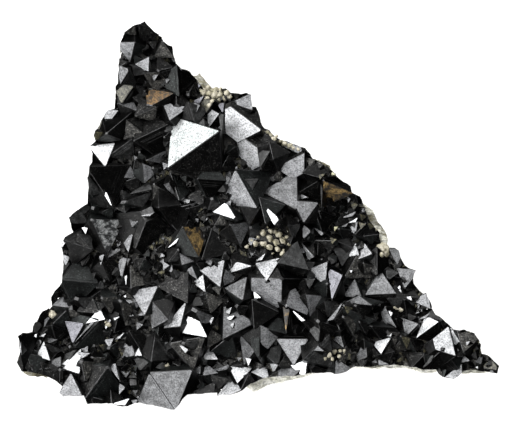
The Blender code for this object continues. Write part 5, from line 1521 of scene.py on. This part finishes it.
def crystal_material(word):
    """A face with clouds of another tone, fine dark specks, sparse painted glints and a few pits."""
    # The grey steps' tones are painted light and shade, lighter for lit faces and darker for shaded ones
    tone, cloud, size, metallic, roughness, speckle, painted_glint, bump = FACE_FINISHES_AND_PAINTED_LIGHT[word]
    made, tree, shader, place = procedural("magnetite_" + word)
    shader.inputs["Metallic"].default_value = metallic
    shader.inputs["Roughness"].default_value = roughness
    run = stretched(tree, place, STREAK_TURN, STREAK_STRETCH) if word == STREAKED else place
    colour = ramp_node(tree, noise_node(tree, run, size), ((CLOUD_LEVELS[0], tone), (CLOUD_LEVELS[1], cloud)))
    fine = noise_node(tree, place, SPECKLE_SIZE, SPECKLE_DETAIL)
    # Fine dark specks, and sparse painted glints that brighten the colour where the fine noise is high
    stops = grey_stops((SPECKLE_LEVELS[0], 1 - speckle), (SPECKLE_LEVELS[1], 1),
                       (PAINTED_GLINT_LEVELS[0], 1), (PAINTED_GLINT_LEVELS[1], painted_glint))
    colour = multiplied(tree, colour, ramp_node(tree, fine, stops))
    pits = noise_node(tree, place, PIT_SIZE, PIT_DETAIL)
    stops = grey_stops((PIT_LEVELS[0], PIT_TONE), (PIT_LEVELS[1], 1))
    colour = multiplied(tree, colour, ramp_node(tree, pits, stops))
    tree.links.new(colour, shader.inputs["Base Color"])
    add_relief(tree, shader, place, RELIEF_SIZE, RELIEF_DETAIL, bump, RELIEF_DEPTH)


def ranged(tree, value, limits):
    """A number mapped from one range to another, and held at its ends."""
    node = value_node(tree, "ShaderNodeMapRange")
    for key, limit in zip(("From Min", "From Max", "To Min", "To Max"), limits):
        node.inputs[key].default_value = limit
    tree.links.new(value, node.inputs["Value"])
    return node.outputs["Result"]


def added(tree, first, second):
    node = value_node(tree, "ShaderNodeMath", operation="ADD")
    tree.links.new(first, node.inputs[0])
    tree.links.new(second, node.inputs[1])
    return node.outputs["Value"]


def rock_material():
    """Cream rock along the bottom, grey and fibrous up the right edge, olive and brown towards the left,
    paler towards the right, partly as painted light on bare rock that the crust shades.
    """
    made, tree, shader, place = procedural("rock_surface")
    shader.inputs["Roughness"].default_value = ROCK_ROUGHNESS
    split = tree.nodes.new("ShaderNodeSeparateXYZ")
    tree.links.new(place, split.inputs["Vector"])
    fibres = stretched(tree, place, ROCK_FIBRE_TURN, ROCK_FIBRE_STRETCH)
    grains = noise_node(tree, fibres, ROCK_MOTTLE_SIZE, ROCK_MOTTLE_DETAIL, ROCK_MOTTLE_ROUGHNESS)
    # Paler to the right: partly the rock's own cream, partly painted light on bare rock that the crust shades
    across = ranged(tree, split.outputs["X"], ROCK_PALING_AND_PAINTED_LIGHT)
    upwards = ranged(tree, split.outputs["Y"], ROCK_GREYING)
    colour = ramp_node(tree, added(tree, grains, added(tree, across, upwards)), ROCK_TONES)
    fine = noise_node(tree, place, ROCK_SPECKLE_SIZE, ROCK_SPECKLE_DETAIL)
    colour = multiplied(tree, colour, ramp_node(tree, fine, grey_stops(*ROCK_SPECKLE)))
    tree.links.new(colour, shader.inputs["Base Color"])
    add_relief(tree, shader, place, ROCK_RELIEF_SIZE, ROCK_RELIEF_DETAIL, ROCK_RELIEF, ROCK_RELIEF_DEPTH)
    return made


def grain_material():
    """Cream grains with painted shade in the crevices between them."""
    made, tree, shader, place = procedural("feldspar_surface")
    shader.inputs["Roughness"].default_value = GRAIN_ROUGHNESS
    colour = ramp_node(tree, noise_node(tree, place, GRAIN_TONE_SIZE), GRAIN_TONES)
    geometry = tree.nodes.new("ShaderNodeNewGeometry")
    # Painted shade, darker where the surface is hollow between the grains
    painted_crevice_shade = ramp_node(tree, geometry.outputs["Pointiness"], GRAIN_PAINTED_CREVICE_SHADE)
    tree.links.new(multiplied(tree, colour, painted_crevice_shade), shader.inputs["Base Color"])
    add_relief(tree, shader, place, GRAIN_RELIEF_SIZE, GRAIN_RELIEF_DETAIL, GRAIN_RELIEF, GRAIN_RELIEF_DEPTH)
    return made


def to_part_frame(obj):
    """Brings a piece from millimetres to metres about the middle of the plate."""
    to_metres = Matrix.Scale(MM, 4) @ Matrix.Translation((-PLATE_CENTRE[0], -PLATE_CENTRE[1], 0.0))
    obj.data.transform(to_metres)


def covered(obj, made):
    """Gives a whole piece one material."""
    obj.data.materials.clear()
    obj.data.materials.append(made)
    return obj


def dress(obj, slot, *nodes):
    """Places a finished piece on its body, in the place of its nodes if it has any."""
    to_part_frame(obj)
    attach(obj, "root")
    if nodes:
        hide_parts(*nodes)


def softbox(name, azimuth, elevation, distance, width, height, radiance):
    """A rectangular soft light that faces the specimen."""
    light = bpy.data.lights.new(name, "AREA")
    light.shape = "RECTANGLE"
    light.size = width
    light.size_y = height
    light.energy = radiance * math.pi * width * height
    lamp = bpy.data.objects.new(name, light)
    bpy.context.scene.collection.objects.link(lamp)
    a, e = math.radians(azimuth), math.radians(elevation)
    towards = Vector((math.cos(a) * math.cos(e), math.sin(a) * math.cos(e), math.sin(e)))
    lamp.location = towards * distance
    lamp.rotation_euler = towards.to_track_quat("Z", "Y").to_euler()
    lamp.visible_camera = False


def surroundings():
    """Dark studio surroundings, so that faces that lean away from the light stay black."""
    world = bpy.data.worlds.new("studio")
    world.use_nodes = True
    background = world.node_tree.nodes["Background"]
    background.inputs["Color"].default_value = (SURROUNDINGS, SURROUNDINGS, SURROUNDINGS, 1.0)
    bpy.context.scene.world = world
    bpy.context.scene.view_settings.view_transform = "Standard"


def pale_floor():
    """A floor that shows white and isn't mirrored in the crystals, as if dark cards stood round them."""
    half = FLOOR_SIZE / 2
    floor = mesh_object("floor", [(-half, -half, 0), (half, -half, 0), (half, half, 0), (-half, half, 0)],
                        [(0, 1, 2, 3)])
    made, _, shader, _ = procedural("pale_floor")
    shader.inputs["Roughness"].default_value = FLOOR_ROUGHNESS
    shader.inputs["Base Color"].default_value = (*FLOOR_COLOUR, 1.0)
    shader.inputs["Emission Color"].default_value = (*WHITE, 1.0)
    shader.inputs["Emission Strength"].default_value = FLOOR_GLOW
    floor.data.materials.append(made)
    floor.visible_glossy = False


def camera():
    """A long lens that looks straight down, as in the photo."""
    lens = bpy.data.cameras.new("camera")
    lens.lens = CAMERA_LENS
    seen = bpy.data.objects.new("camera", lens)
    bpy.context.scene.collection.objects.link(seen)
    x, y = ((place - centre) * MM for place, centre in zip(CAMERA_PLACE, PLATE_CENTRE))
    seen.location = (x, y, CAMERA_HEIGHT)
    bpy.context.scene.camera = seen


def feldspar_pieces(solids):
    """The grains of the solids, and the lesser ones on top of what is there."""
    draw = random.Random(GRAIN_SEED)
    feldspar = grain_material()
    for node, grains in GRAINS.items():
        places = [(grain_place(*grain), grain[2]) for grain in grains]
        cluster = grain_cluster(node.replace("feldspar", "pale"), places, draw)
        dress(covered(cluster, feldspar), "feldspar", node)
    for name, grains in LESSER_GRAINS.items():
        plan = np.array([grain[:2] for grain in grains])
        under = tops(solids, np.zeros(len(solids)), plan).max(axis=0)
        levels = np.maximum(under, [bed_height(point) for point in plan])
        places = [(Vector((x, y, level - LESSER_GRAIN_SINK * width)), width)
                  for (x, y, width), level in zip(grains, levels)]
        dress(covered(grain_cluster(name, places, draw), feldspar), "feldspar")


def build():
    for word in FACE_FINISH_AND_LIGHT_ORDER:
        crystal_material(word)
    outline = inset_outline(0.0, BARE_WIDTHS)
    crystals = all_crystals(outline)
    dress(crust(crystals, outline), "magnetite", "magnetite_crust")
    dress(covered(rock(), rock_material()), "rock", "matrix")
    feldspar_pieces([corners for corners, _, _ in crystals])
    surroundings()
    for box in SOFTBOXES:
        softbox(*box)
    pale_floor()
    camera()


build()
